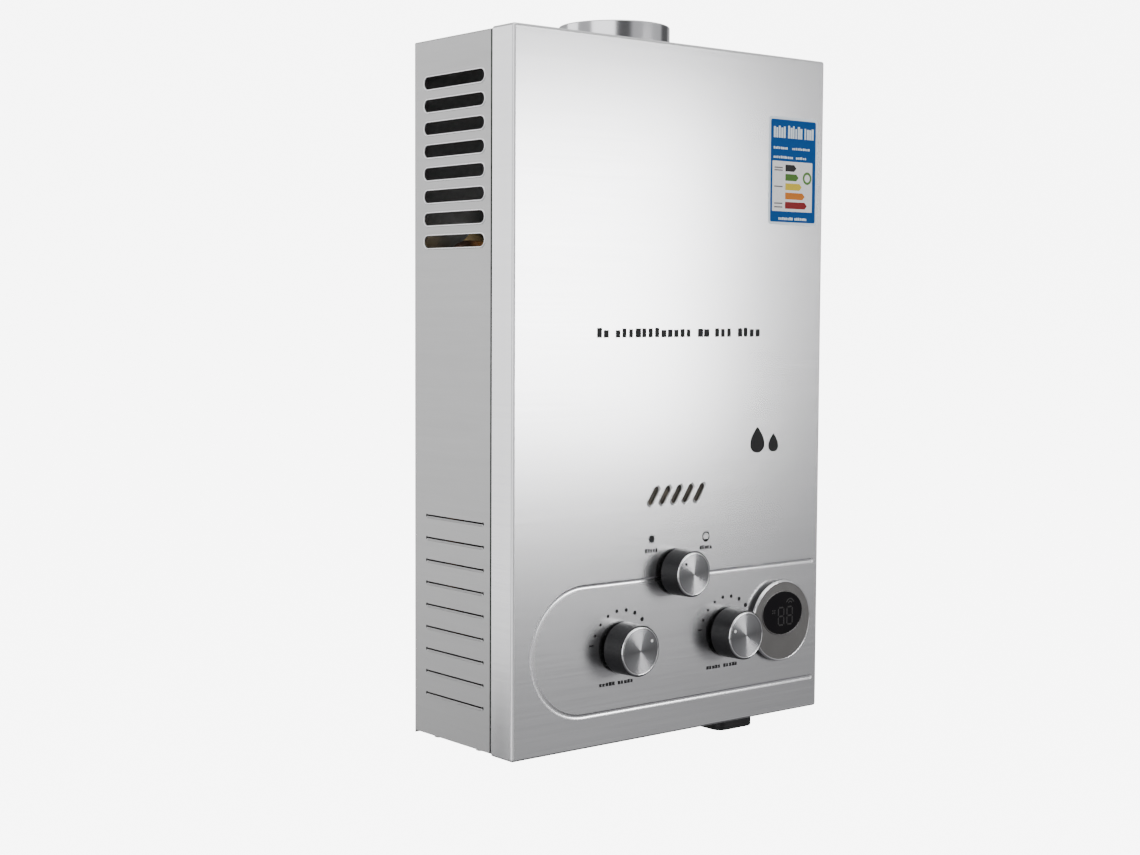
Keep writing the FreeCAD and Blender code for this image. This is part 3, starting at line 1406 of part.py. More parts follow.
# ---- Every piece, by node name ------------------------------------------------------
def build():
    low_knob = (knob_r, knob_length)
    season_knob_size = (season_knob_r, season_knob_length)
    gas_seat = gas_body_front - boss_length
    water_seat = water_body_front - boss_length - water_boss_extra
    return {
        "rear_case": rear_case(),
        "bottom_plate": bottom_plate(),
        "front_cover": front_cover(),
        "case_screws": case_screws(),
        "mica_window": mica_window(),
        "flue_collar": flue_collar(),
        "draft_hood": draft_hood(),
        "hood_neck": hood_neck(),
        "chamber_shell": chamber_shell(),
        "exchanger_fins": exchanger_fins(),
        "exchanger_tubes": exchanger_tubes(),
        "chamber_coil": chamber_coil(),
        "chamber_brackets": chamber_brackets(),
        "burner_frame": burner_frame(),
        "burner_bars": burner_bars(),
        "gas_manifold": gas_manifold(),
        "gas_nozzles": gas_nozzles(),
        "season_cock_body": season_cock_body(),
        "season_spindle": spindle(0, season_z, cock_front_y, cock_seat),
        "season_knob": knob(0, season_z, *season_knob_size),
        "season_knob_face": knob_face(0, season_z, *season_knob_size),
        "gas_valve_body": gas_valve_body(),
        "gas_solenoid": gas_solenoid(),
        "gas_transfer_pipe": gas_transfer_pipe(),
        "gas_spindle": spindle(-knob_x, knob_z, gas_seat, spindle_seat),
        "gas_knob": knob(-knob_x, knob_z, *low_knob),
        "gas_knob_face": knob_face(-knob_x, knob_z, *low_knob),
        "water_valve_body": water_valve_body(),
        "diaphragm": diaphragm(),
        "diaphragm_cover": diaphragm_cover(),
        "dome_screws": dome_screws(),
        "water_spindle": spindle(knob_x, knob_z, water_seat, spindle_seat),
        "water_knob": knob(knob_x, knob_z, *low_knob),
        "water_knob_face": knob_face(knob_x, knob_z, *low_knob),
        "push_rod": push_rod(),
        "microswitch": microswitch(),
        "switch_lever": switch_lever(),
        "drain_cock_body": drain_cock_body(),
        "drain_cock_handle": drain_cock_handle(),
        "hot_outlet_stub": pipe_stub(hot_x, hot_stub_top),
        "gas_inlet_stub": pipe_stub(-knob_x, gas_body_z),
        "cold_inlet_stub": pipe_stub(knob_x, water_body_z),
        "stub_lock_nuts": stub_lock_nuts(),
        "pipe_union_nuts": pipe_union_nuts(),
        "cold_riser": cold_riser(),
        "hot_pipe": hot_pipe(),
        "outlet_sensor": outlet_sensor(),
        "overheat_thermostat": overheat_thermostat(),
        "electrode_bracket": electrode_bracket(),
        "electrodes": electrodes(),
        "electrode_leads": electrode_leads(),
        "control_leads": control_leads(),
        "igniter_box": igniter_box(),
        "battery_box": battery_box(),
        "battery_door": battery_door(),
        "battery_cells": battery_cells(),
        "battery_springs": battery_springs(),
        "display_bezel": display_bezel(),
        "display_lens": display_lens(),
        "display_board": display_board(),
    }


os.makedirs("parts", exist_ok=True)
for node, shape in build().items():
    bad = "" if shape.isValid() and shape.Volume > 0 else "  <- not a valid solid"
    print(f"{node}: {len(shape.Solids)} solid(s), {shape.Volume / 1000:.2f} cm3{bad}")
    shape.exportStep(f"parts/{node}.step")
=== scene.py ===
import json
import math

import bmesh
import bpy
from mathutils import Matrix, Vector


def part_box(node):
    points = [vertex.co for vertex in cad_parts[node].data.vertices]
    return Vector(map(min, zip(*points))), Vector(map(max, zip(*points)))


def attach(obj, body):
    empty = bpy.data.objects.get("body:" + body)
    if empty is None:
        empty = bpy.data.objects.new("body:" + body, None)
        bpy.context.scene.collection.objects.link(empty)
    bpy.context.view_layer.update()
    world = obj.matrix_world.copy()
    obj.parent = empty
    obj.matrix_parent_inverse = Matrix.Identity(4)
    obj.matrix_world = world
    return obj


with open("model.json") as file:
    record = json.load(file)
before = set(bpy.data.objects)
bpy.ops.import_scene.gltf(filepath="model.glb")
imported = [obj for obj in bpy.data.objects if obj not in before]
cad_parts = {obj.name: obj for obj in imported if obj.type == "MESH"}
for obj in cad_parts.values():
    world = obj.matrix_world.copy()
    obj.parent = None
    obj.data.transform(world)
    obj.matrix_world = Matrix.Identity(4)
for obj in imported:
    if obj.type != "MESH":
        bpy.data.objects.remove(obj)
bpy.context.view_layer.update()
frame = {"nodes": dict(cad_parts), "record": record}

# Looks of the wall-hung gas water heater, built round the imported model. Metres, with X
# to the right of a person facing the heater, Y back to the wall and Z up.

MM = 0.001

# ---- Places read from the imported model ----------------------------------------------
cover_low, cover_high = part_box("front_cover")
case_low, case_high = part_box("rear_case")
front_y = cover_low.y
top_z = cover_high.z
side_x = case_high.x

# ---- Sizes of the pressed and printed detail ----------------------------------------
vent_count = 8
vent_pitch = 16.0 * MM
vent_length = 72.0 * MM
vent_height = 8.5 * MM
vent_from_front = 34.0 * MM
vent_top_drop = 31.4 * MM
louver_count = 9
louver_pitch = 16.15 * MM
louver_length = 68.0 * MM
louver_height = 1.6 * MM
louver_from_front = 34.8 * MM
louver_first_z = 31.6 * MM
flame_count = 5
flame_pitch = 11.2 * MM
flame_lean = 5.7 * MM
flame_low = 169.0 * MM
flame_high = 182.0 * MM
flame_r = 2.2 * MM
groove_low_z, groove_high_z = 23.5 * MM, 115.1 * MM
groove_left_x, groove_right_x = -132.7 * MM, 142.0 * MM
groove_bed_half = 1.9 * MM
groove_bed_depth = 0.62 * MM
groove_bed_edge = 0.02 * MM
print_t = 0.06 * MM
print_sink = 0.02 * MM
label_t = 0.12 * MM
label_x0, label_x1 = 90.5 * MM, 143.0 * MM
label_z0, label_z1 = 374.0 * MM, 455.0 * MM
dial_dot_count = 8
dial_r = 26.6 * MM
dial_mark_r = 28.0 * MM

# ---- Camera, light and tone ---------------------------------------------------------
camera_place = (-0.8925, -1.094, 0.310)
camera_yaw, camera_pitch, camera_roll = 39.07, -3.74, 0.29   # degrees
camera_lens = 57.55                                          # millimetres, on a 36 mm frame
floor_z = -0.42
paper_glow = 7.0            # how strongly the backdrop shines at the camera
cone_rim, cone_core = 0.93, 0.985   # cosines where a dark patch of wall starts and is full
# The next two set a painted highlight on the upright folds of the sheets: how fast it whitens, and
# its colour.
fold_highlight_gain = 3.0             # how fast a sheet turns pale where it leaves the flat
fold_highlight_colour = (0.97, 0.97, 0.98)
fold_roughness = 0.2


# ---- Small helpers ------------------------------------------------------------------
def middle(node):
    low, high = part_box(node)
    return (low + high) / 2


def face_of(node):
    """Middle x and z, half width, half height and reach past the panel of a front piece."""
    low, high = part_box(node)
    return ((low.x + high.x) / 2, (low.z + high.z) / 2, (high.x - low.x) / 2,
            (high.z - low.z) / 2, front_y - low.y)


def feed(tree, node, inputs):
    """Sets the inputs of a node; a socket value is linked."""
    for key, value in inputs.items():
        if isinstance(value, bpy.types.NodeSocket):
            tree.links.new(value, node.inputs[key])
        else:
            node.inputs[key].default_value = value


def add(tree, kind, settings=None, inputs=None):
    """A node of any tree, with its properties and its inputs."""
    made = tree.nodes.new(kind)
    for name, value in (settings or {}).items():
        setattr(made, name, value)
    feed(tree, made, inputs or {})
    return made


def math_node(tree, operation, first, second=0.0, clamp=False):
    made = add(tree, "ShaderNodeMath", {"operation": operation, "use_clamp": clamp},
               {0: first, 1: second})
    return made.outputs[0]


def ranged(tree, value, low, high):
    """A value from 0 to 1, carried to a range."""
    made = add(tree, "ShaderNodeMapRange", None, {"Value": value, "To Min": low, "To Max": high})
    return made.outputs["Result"]


def vector_node(tree, operation, first, second=None):
    inputs = {0: first} if second is None else {0: first, 1: second}
    return add(tree, "ShaderNodeVectorMath", {"operation": operation}, inputs)


def object_place(tree):
    """Position on the object, for patterns that stay with the piece."""
    return add(tree, "ShaderNodeTexCoord").outputs["Object"]


def placed(name, data):
    """A new object in the scene."""
    made = bpy.data.objects.new(name, data)
    bpy.context.scene.collection.objects.link(made)
    return made


def solid_object(name, mesh, material, body="casing"):
    """A finished mesh as a piece that rides on a body."""
    piece = placed(name, mesh)
    if material is not None:
        piece.data.materials.clear()
        piece.data.materials.append(material)
    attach(piece, body)
    return piece


def mesh_from(build):
    """A mesh filled by build(bm), with doubles merged and faces turned outwards."""
    bm = bmesh.new()
    build(bm)
    bmesh.ops.remove_doubles(bm, verts=bm.verts, dist=1e-7)
    bmesh.ops.recalc_face_normals(bm, faces=bm.faces)
    mesh = bpy.data.meshes.new("work")
    bm.to_mesh(mesh)
    bm.free()
    return mesh


def turned_to(direction, mesh):
    """An open sheet with its faces turned to look along a direction."""
    if sum(face.normal.dot(direction) * face.area for face in mesh.polygons) < 0:
        mesh.flip_normals()
    return mesh


def smooth(piece):
    for face in piece.data.polygons:
        face.use_smooth = True
    return piece


# ---- Camera -------------------------------------------------------------------------
def make_camera():
    yaw, pitch, roll = (math.radians(a) for a in (camera_yaw, camera_pitch, camera_roll))
    ahead = Vector((math.sin(yaw) * math.cos(pitch), math.cos(yaw) * math.cos(pitch),
                    math.sin(pitch)))
    right = Vector((math.cos(yaw), -math.sin(yaw), 0))
    up = right.cross(ahead)
    rolled_right = right * math.cos(roll) + up * math.sin(roll)
    rolled_up = up * math.cos(roll) - right * math.sin(roll)
    turn = Matrix((rolled_right, rolled_up, -ahead)).transposed()
    camera = placed("camera", bpy.data.cameras.new("camera"))
    camera.data.sensor_width = 36.0
    camera.data.lens = camera_lens
    camera.data.clip_start = 0.02
    camera.data.clip_end = 60.0
    camera.matrix_world = Matrix.Translation(camera_place) @ turn.to_4x4()
    bpy.context.scene.camera = camera


# ---- Light and stage ----------------------------------------------------------------
def softbox(name, place, target, width, height, watts):
    """A soft white rectangle of light that faces its target and isn't seen itself."""
    light = bpy.data.lights.new(name, "AREA")
    light.shape = "RECTANGLE"
    light.size = width
    light.size_y = height
    light.energy = watts
    lamp = placed(name, light)
    lamp.location = place
    lamp.rotation_mode = "QUATERNION"
    lamp.rotation_quaternion = (Vector(target) - Vector(place)).to_track_quat("-Z", "Y")
    lamp.visible_camera = False


def shade_towards(tree, ray, direction, left_over):
    """A factor that falls from 1 to left_over inside a soft cone round a direction."""
    likeness = vector_node(tree, "DOT_PRODUCT", ray,
                           Vector(direction).normalized()).outputs["Value"]
    made = add(tree, "ShaderNodeMapRange", {"interpolation_type": "SMOOTHSTEP"},
               {"Value": likeness, "From Min": cone_rim, "From Max": cone_core,
                "To Min": 1.0, "To Max": left_over})
    return made.outputs["Result"]


def make_world():
    """Studio walls: bright overhead, a pale floor in front, dark in front and at the right."""
    world = bpy.data.worlds.new("studio")
    world.use_nodes = True
    tree = world.node_tree
    ray = add(tree, "ShaderNodeTexCoord").outputs["Generated"]
    height = add(tree, "ShaderNodeSeparateXYZ", None, {"Vector": ray}).outputs["Z"]
    share = add(tree, "ShaderNodeMapRange", None,
                {"Value": height, "From Min": -0.6, "From Max": 0.9}).outputs["Result"]
    ramp = add(tree, "ShaderNodeValToRGB", None, {"Fac": share})
    stops = ramp.color_ramp.elements
    stops[0].position, stops[0].color = 0.0, (0.10, 0.10, 0.105, 1)
    stops[1].position, stops[1].color = 1.0, (1.0, 1.0, 1.0, 1)
    for position, level in ((0.08, 0.35), (0.15, 0.50), (0.20, 0.42), (0.235, 0.15),
                            (0.262, 0.11), (0.42, 0.46), (0.60, 0.46)):
        stops.new(position).color = (level, level, level * 1.02, 1)
    shade = math_node(tree, "MULTIPLY", shade_towards(tree, ray, (-0.35, -0.94, 0.25), 0.2),
                      shade_towards(tree, ray, (1.0, 0.0, 0.1), 0.2))
    walls = tree.nodes["Background"]
    feed(tree, walls, {"Color": ramp.outputs["Color"],
                       "Strength": math_node(tree, "MULTIPLY", shade, 1.25)})
    paper = add(tree, "ShaderNodeBackground", None,
                {"Color": (0.95, 0.95, 0.95, 1.0), "Strength": paper_glow})
    seen = add(tree, "ShaderNodeLightPath").outputs["Is Camera Ray"]
    both = add(tree, "ShaderNodeMixShader", None,
               {0: seen, 1: walls.outputs[0], 2: paper.outputs[0]})
    feed(tree, tree.nodes["World Output"], {"Surface": both.outputs[0]})
    bpy.context.scene.world = world


def make_lights():
    """One light for the front, one for the side, one for the edges and one from above."""
    softbox("key", (0.80, -1.35, 0.36), (-0.05, front_y, 0.30), width=0.54, height=0.50, watts=10)
    softbox("left rear", (-1.9, 1.9, 0.44), (-0.15, -0.06, 0.30), width=1.5, height=1.9, watts=16)
    softbox("left", (-2.18, -1.18, 0.42), (-0.15, -0.1, 0.30), width=2.2, height=2.0, watts=26)
    softbox("top", (-0.1, -0.5, 2.2), (0.0, front_y, 0.26), width=1.8, height=1.2, watts=9)


def make_stage():
    """A pale floor that sweeps up into a back wall, and is clear when seen from underneath."""
    near_y, wall_y, wall_top = -5.0, 2.6, 4.0
    sweep = 1.0
    half = 6.0
    steps = 14

    def build(bm):
        profile = [(near_y, floor_z), (wall_y - sweep, floor_z)]
        for i in range(1, steps + 1):
            a = math.pi / 2 * i / steps
            profile.append((wall_y - sweep + sweep * math.sin(a),
                            floor_z + sweep - sweep * math.cos(a)))
        profile.append((wall_y, wall_top))
        rows = [[bm.verts.new((x, y, z)) for y, z in profile] for x in (-half, half)]
        for i in range(len(profile) - 1):
            bm.faces.new((rows[0][i], rows[1][i], rows[1][i + 1], rows[0][i + 1]))

    sheet = turned_to(Vector((0, -1, 1)), mesh_from(build))
    floor = smooth(placed("floor", sheet))
    paper, tree, shader = blank("studio_paper")
    grain = mottle(tree, 40.0, 0.5)
    colour = mixed(tree, grain, (0.93, 0.93, 0.93), (0.96, 0.96, 0.96))
    feed(tree, shader, {"Base Color": colour, "Roughness": 0.9, "Emission Color": colour,
                        "Emission Strength": paper_glow})
    under = add(tree, "ShaderNodeNewGeometry").outputs["Backfacing"]
    clear = add(tree, "ShaderNodeBsdfTransparent")
    one_way = add(tree, "ShaderNodeMixShader", None,
                  {0: under, 1: shader.outputs[0], 2: clear.outputs[0]})
    feed(tree, tree.nodes["Material Output"], {"Surface": one_way.outputs[0]})
    floor.data.materials.append(paper)
    floor.visible_glossy = False
    floor.visible_diffuse = False


# ---- Shared surface effects ---------------------------------------------------------
def new_group(name, inputs, outputs):
    """A shader group with float inputs {name: value} and float outputs."""
    group = bpy.data.node_groups.new(name, "ShaderNodeTree")
    for label, value in inputs.items():
        kind = "NodeSocketVector" if isinstance(value, tuple) else "NodeSocketFloat"
        socket = group.interface.new_socket(name=label, in_out="INPUT", socket_type=kind)
        socket.default_value = value
    for label in outputs:
        group.interface.new_socket(name=label, in_out="OUTPUT", socket_type="NodeSocketFloat")
    enter = group.nodes.new("NodeGroupInput")
    leave = group.nodes.new("NodeGroupOutput")
    return group, enter, leave


def build_brushing():
    """Long thin scratches along one axis, as a height and as a slower change of tone."""
    group, enter, leave = new_group("Brushing", {"Grain": (1.0, 1.0, 1.0)}, ["Height", "Tone"])
    spread = vector_node(group, "MULTIPLY", object_place(group),
                         enter.outputs["Grain"]).outputs[0]
    fine = add(group, "ShaderNodeTexNoise", None,
               {"Vector": spread, "Scale": 1.0, "Detail": 3.0, "Roughness": 0.65})
    slow_place = add(group, "ShaderNodeVectorMath", {"operation": "SCALE"},
                     {0: spread, "Scale": 0.22}).outputs[0]
    slow = add(group, "ShaderNodeTexNoise", None,
               {"Vector": slow_place, "Scale": 1.0, "Detail": 2.0, "Roughness": 0.5})
    feed(group, leave, {"Height": fine.outputs[0], "Tone": slow.outputs[0]})
    return group


def build_mottle():
    """Cloudy patches, centred on a half."""
    group, enter, leave = new_group("Mottle", {"Scale": 30.0, "Contrast": 1.0}, ["Patches"])
    cloud = add(group, "ShaderNodeTexNoise", None,
                {"Vector": object_place(group), "Scale": enter.outputs["Scale"],
                 "Detail": 4.0, "Roughness": 0.55}).outputs[0]
    centred = math_node(group, "SUBTRACT", cloud, 0.5)
    spread = math_node(group, "MULTIPLY", centred, enter.outputs["Contrast"])
    feed(group, leave, {"Patches": math_node(group, "ADD", spread, 0.5, clamp=True)})
    return group


def build_edge_rub():
    """White along outer edges where handling or folding brightens the metal or plastic."""
    group, enter, leave = new_group("Edge rub", {"Reach": 0.0006, "Breakup": 220.0}, ["Rub"])
    rounded = add(group, "ShaderNodeBevel", {"samples": 4},
                  {"Radius": enter.outputs["Reach"]}).outputs[0]
    flat = add(group, "ShaderNodeNewGeometry").outputs["Normal"]
    likeness = vector_node(group, "DOT_PRODUCT", rounded, flat).outputs["Value"]
    bend = math_node(group, "SUBTRACT", 1.0, likeness, clamp=True)
    strong = math_node(group, "MULTIPLY", bend, 6.0, clamp=True)
    spots = add(group, "ShaderNodeTexNoise", None,
                {"Vector": object_place(group), "Scale": enter.outputs["Breakup"],
                 "Detail": 3.0}).outputs[0]
    feed(group, leave, {"Rub": math_node(group, "MULTIPLY", strong, spots, clamp=True)})
    return group


def build_skin():
    """The fine pebbled skin of castings and moulded plastic, as a height."""
    group, enter, leave = new_group("Skin", {"Scale": 900.0}, ["Height"])
    place = object_place(group)
    cells = add(group, "ShaderNodeTexVoronoi", {"feature": "SMOOTH_F1"},
                {"Vector": place, "Scale": enter.outputs["Scale"], "Smoothness": 1.0})
    fine = add(group, "ShaderNodeTexNoise", None,
               {"Vector": place, "Scale": enter.outputs["Scale"], "Detail": 2.0})
    both = math_node(group, "MULTIPLY", cells.outputs["Distance"], fine.outputs[0])
    feed(group, leave, {"Height": both})
    return group


def build_fold_highlight():
    """Painted highlight: white on the upright folds of a sheet, where its surface turns from front
    to side.
    """
    group, enter, leave = new_group("Fold highlight", {"Gain": 3.0}, ["Fold highlight"])
    facing = add(group, "ShaderNodeNewGeometry").outputs["Normal"]
    parts = add(group, "ShaderNodeSeparateXYZ", None, {"Vector": facing})
    both = math_node(group, "MULTIPLY", parts.outputs["X"], parts.outputs["Y"])
    size = math_node(group, "ABSOLUTE", both)
    fold_highlight_mask = math_node(group, "MULTIPLY", size, enter.outputs["Gain"], clamp=True)
    feed(group, leave, {"Fold highlight": fold_highlight_mask})
    return group


EFFECTS = {"brushing": build_brushing(), "mottle": build_mottle(),
           "edge": build_edge_rub(), "skin": build_skin(), "fold_highlight_mask": build_fold_highlight()}


def effect(tree, name, inputs):
    return add(tree, "ShaderNodeGroup", {"node_tree": EFFECTS[name]}, inputs)


def mottle(tree, scale, contrast):
    return effect(tree, "mottle", {"Scale": scale, "Contrast": contrast}).outputs["Patches"]


def mixed(tree, factor, dark, light):
    """A colour between two, by a factor from 0 to 1."""
    made = add(tree, "ShaderNodeMix", {"data_type": "RGBA"}, {0: factor})
    colours = [s for s in made.inputs if s.type == "RGBA"]
    for socket, value in zip(colours, (dark, light)):
        if isinstance(value, bpy.types.NodeSocket):
            tree.links.new(value, socket)
        else:
            socket.default_value = (*value, 1.0)
    return [s for s in made.outputs if s.type == "RGBA"][0]


def bumped(tree, shader, height, distance, strength=1.0):
    bump = add(tree, "ShaderNodeBump", None,
               {"Height": height, "Distance": distance, "Strength": strength})
    feed(tree, shader, {"Normal": bump.outputs[0]})


def blank(name):
    """A new node material: its tree and its shader."""
    material = bpy.data.materials.new(name)
    material.use_nodes = True
    tree = material.node_tree
    return material, tree, tree.nodes["Principled BSDF"]


# ---- Finishes -----------------------------------------------------------------------
def brushed(name, dark, light, rough, grain, depth, anisotropy, tangent_axis):
    """Brushed sheet: fine streaks in tone, roughness and relief, a painted highlight on the folds,
    and duller folds.
    """
    material, tree, shader = blank(name)
    marks = effect(tree, "brushing", {"Grain": grain})
    patches = mottle(tree, 9.0, 0.8)
    tone = math_node(tree, "MULTIPLY", marks.outputs["Tone"], 0.75)
    tone = math_node(tree, "ADD", tone, math_node(tree, "MULTIPLY", patches, 0.25))
    fold_highlight_mask = effect(tree, "fold_highlight_mask", {"Gain": fold_highlight_gain}).outputs["Fold highlight"]
    level = ranged(tree, marks.outputs["Height"], *rough)
    duller = math_node(tree, "MULTIPLY", fold_highlight_mask, fold_roughness)
    along = add(tree, "ShaderNodeTangent", {"direction_type": "RADIAL", "axis": tangent_axis})
    # over the folds the base colour turns to a painted highlight; the extra roughness there is the
    # duller bent metal
    feed(tree, shader, {
        "Base Color": mixed(tree, fold_highlight_mask, mixed(tree, tone, dark, light), fold_highlight_colour),
        "Roughness": math_node(tree, "ADD", level, duller, clamp=True),
        "Metallic": 1.0, "Anisotropic": anisotropy, "Tangent": along.outputs[0]})
    bumped(tree, shader, marks.outputs["Height"], depth)
    return material


def worn_metal(name, dark, light, rough, skin_scale, skin_depth, rub=None, patch_scale=45.0):
    """Cast, plated or coated metal: patchy tone, rubbed edges and a fine skin."""
    material, tree, shader = blank(name)
    patches = mottle(tree, patch_scale, 1.6)
    colour = mixed(tree, patches, dark, light)
    if rub is not None:
        mask = effect(tree, "edge", {"Reach": 0.0005, "Breakup": 260.0}).outputs["Rub"]
        colour = mixed(tree, mask, colour, rub)
    feed(tree, shader, {"Base Color": colour, "Roughness": ranged(tree, patches, *rough),
                        "Metallic": 1.0})
    skin = effect(tree, "skin", {"Scale": skin_scale})
    bumped(tree, shader, skin.outputs["Height"], skin_depth)
    return material


def plastic(name, dark, light, rough, skin_scale, skin_depth, rub, coat=0.0, shine=0.5):
    """Moulded plastic, rubber or print: slight patches, rubbed edges, moulded skin."""
    material, tree, shader = blank(name)
    patches = mottle(tree, 60.0, 1.3)
    colour = mixed(tree, patches, dark, light)
    mask = effect(tree, "edge", {"Reach": 0.0004, "Breakup": 400.0}).outputs["Rub"]
    feed(tree, shader, {"Base Color": mixed(tree, mask, colour, rub),
                        "Roughness": ranged(tree, patches, *rough), "Coat Weight": coat,
                        "Coat Roughness": 0.12, "Specular IOR Level": shine})
    skin = effect(tree, "skin", {"Scale": skin_scale})
    bumped(tree, shader, skin.outputs["Height"], skin_depth)
    return material


def bezel_grey():
    """Metallic paint: fine flake over a warm grey, under a thin satin coat."""
    material, tree, shader = blank("bezel_grey")
    flake = add(tree, "ShaderNodeTexVoronoi", None,
                {"Vector": object_place(tree), "Scale": 3800.0})
    patches = mottle(tree, 50.0, 1.0)
    base = mixed(tree, patches, (0.105, 0.102, 0.10), (0.14, 0.136, 0.133))
    sparkle = math_node(tree, "LESS_THAN", flake.outputs["Distance"], 0.28)
    speck = math_node(tree, "MULTIPLY", sparkle, 0.35)
    feed(tree, shader, {"Base Color": mixed(tree, speck, base, (0.36, 0.35, 0.34)),
                        "Metallic": 0.55, "Roughness": ranged(tree, patches, 0.30, 0.40),
                        "Coat Weight": 0.3})
    bumped(tree, shader, flake.outputs["Distance"], 0.000003)
    return material


def board_green():
    """Lacquered circuit board with fine copper tracks under the lacquer."""
    material, tree, shader = blank("board_green")
    tracks = add(tree, "ShaderNodeTexBrick", None,
                 {"Vector": object_place(tree), "Scale": 420.0, "Mortar Size": 0.09,
                  "Color1": (0.02, 0.16, 0.06, 1), "Color2": (0.03, 0.20, 0.08, 1),
                  "Mortar": (0.10, 0.34, 0.12, 1)})
    patches = mottle(tree, 80.0, 1.0)
    feed(tree, shader, {"Base Color": tracks.outputs["Color"],
                        "Roughness": ranged(tree, patches, 0.22, 0.4), "Coat Weight": 0.4})
    bumped(tree, shader, tracks.outputs["Fac"], 0.00002)
    return material


def mica():
    """Thin mineral sheet: smoked, flaked, half clear."""
    material, tree, shader = blank("mica")
    patches = mottle(tree, 140.0, 2.2)
    feed(tree, shader, {
        "Base Color": mixed(tree, patches, (0.07, 0.06, 0.045), (0.20, 0.17, 0.13)),
        "Roughness": ranged(tree, patches, 0.12, 0.35),
        "Alpha": ranged(tree, patches, 0.45, 0.75)})
    return material


def cell_jacket():
    """Cell wrap: a dark body with a pale band, no wording."""
    material, tree, shader = blank("cell_jacket")
    height = add(tree, "ShaderNodeSeparateXYZ", None,
                 {"Vector": object_place(tree)}).outputs["Z"]
    band = math_node(tree, "GREATER_THAN", height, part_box("battery_cells")[1].z - 0.016)
    patches = mottle(tree, 60.0, 1.0)
    body = mixed(tree, patches, (0.03, 0.07, 0.05), (0.05, 0.10, 0.07))
    feed(tree, shader, {"Base Color": mixed(tree, band, body, (0.62, 0.60, 0.55)),
                        "Roughness": ranged(tree, patches, 0.25, 0.4)})
    return material


def knob_aluminium():
    """Spun disc: rings round each knob's axis, with the sheen drawn out across them."""
    material, tree, shader = blank("knob_aluminium")
    place = object_place(tree)
    offset = None
    nearest = None
    for node in ("gas_knob_face", "water_knob_face", "season_knob_face"):
        gap = vector_node(tree, "SUBTRACT", place, tuple(middle(node))).outputs[0]
        flat = vector_node(tree, "MULTIPLY", gap, (1.0, 0.0, 1.0)).outputs[0]
        reach = vector_node(tree, "LENGTH", flat).outputs["Value"]
        if offset is None:
            offset, nearest = flat, reach
            continue
        closer = math_node(tree, "LESS_THAN", reach, nearest)
        pick = add(tree, "ShaderNodeMix", {"data_type": "VECTOR"}, {0: closer})
        ends = [s for s in pick.inputs if s.type == "VECTOR"]
        tree.links.new(offset, ends[-2])
        tree.links.new(flat, ends[-1])
        offset = [s for s in pick.outputs if s.type == "VECTOR"][0]
        nearest = math_node(tree, "MINIMUM", reach, nearest)
    turned = add(tree, "ShaderNodeVectorTransform",
                 {"vector_type": "VECTOR", "convert_from": "OBJECT", "convert_to": "WORLD"},
                 {0: offset})
    rings = add(tree, "ShaderNodeTexNoise", {"noise_dimensions": "1D"},
                {"W": nearest, "Scale": 5200.0, "Detail": 2.0}).outputs[0]
    feed(tree, shader, {
        "Base Color": mixed(tree, rings, (0.30, 0.30, 0.31), (0.52, 0.52, 0.53)),
        "Roughness": ranged(tree, rings, 0.20, 0.28), "Metallic": 1.0, "Anisotropic": 0.95,
        "Tangent": turned.outputs[0]})
    bumped(tree, shader, rings, 0.000004)
    return material


def ink(name, colour, rough=0.45, shine=0.12):
    """Printed ink: slightly uneven in cover, roughness and relief, with little shine."""
    material, tree, shader = blank(name)
    patches = mottle(tree, 700.0, 1.4)
    dark = tuple(c * 0.82 for c in colour)
    feed(tree, shader, {"Base Color": mixed(tree, patches, dark, colour),
                        "Roughness": ranged(tree, patches, rough, rough + 0.15),
                        "Specular IOR Level": shine})
    bumped(tree, shader, patches, 0.000004)
    return material


def polished_rim():
    return worn_metal("polished_rim", (0.78, 0.78, 0.79), (0.88, 0.88, 0.89), (0.07, 0.14),
                      600.0, 0.000003)


def shaded_slot_flank():
    """Steel where the sight slots were punched: dulled, with a darker, patchy tone that is painted
    shade falling into the slots.
    """
    return worn_metal("shaded_slot_flank", (0.22, 0.22, 0.22), (0.66, 0.66, 0.66), (0.3, 0.5),
                      900.0, 0.00003, patch_scale=260.0)


# Each row: dark tone, light tone, roughness from and to, then what its builder adds
BRUSHED = {
    "stainless_front": ((0.66, 0.66, 0.67), (0.80, 0.80, 0.81), (0.20, 0.28),
                        (14.0, 14.0, 2600.0), 0.0000007, 0.3, "X"),
    "case_steel": ((0.46, 0.46, 0.46), (0.54, 0.54, 0.54), (0.40, 0.50),
                   (900.0, 26.0, 900.0), 0.000004, 0.2, "Z")}
METALS = {
    "tinned_copper": ((0.20, 0.20, 0.20), (0.30, 0.30, 0.29), (0.42, 0.60), 500.0, 0.00002,
                      (0.42, 0.42, 0.41), 30.0),
    "flue_chrome": ((0.70, 0.70, 0.72), (0.80, 0.80, 0.82), (0.10, 0.20), 500.0, 0.000008,
                    None, 18.0),
    "aluminised_sheet": ((0.50, 0.50, 0.49), (0.64, 0.64, 0.63), (0.42, 0.60), 700.0,
                         0.00002, (0.75, 0.75, 0.74)),
    "copper": ((0.22, 0.13, 0.095), (0.34, 0.20, 0.145), (0.30, 0.50), 400.0, 0.00001,
               (0.55, 0.34, 0.25), 30.0),
    "brass_turned": ((0.68, 0.49, 0.22), (0.82, 0.64, 0.33), (0.16, 0.30), 900.0, 0.000008,
                     (0.92, 0.78, 0.48)),
    "brass_cast": ((0.52, 0.38, 0.18), (0.66, 0.50, 0.27), (0.38, 0.55), 1100.0, 0.00007,
                   (0.85, 0.70, 0.40)),
    "cast_alloy": ((0.52, 0.52, 0.53), (0.66, 0.66, 0.67), (0.38, 0.55), 1200.0, 0.00006,
                   (0.80, 0.80, 0.81)),
    "plated_steel": ((0.55, 0.55, 0.54), (0.70, 0.70, 0.69), (0.22, 0.36), 800.0, 0.00001,
                     (0.85, 0.85, 0.84))}
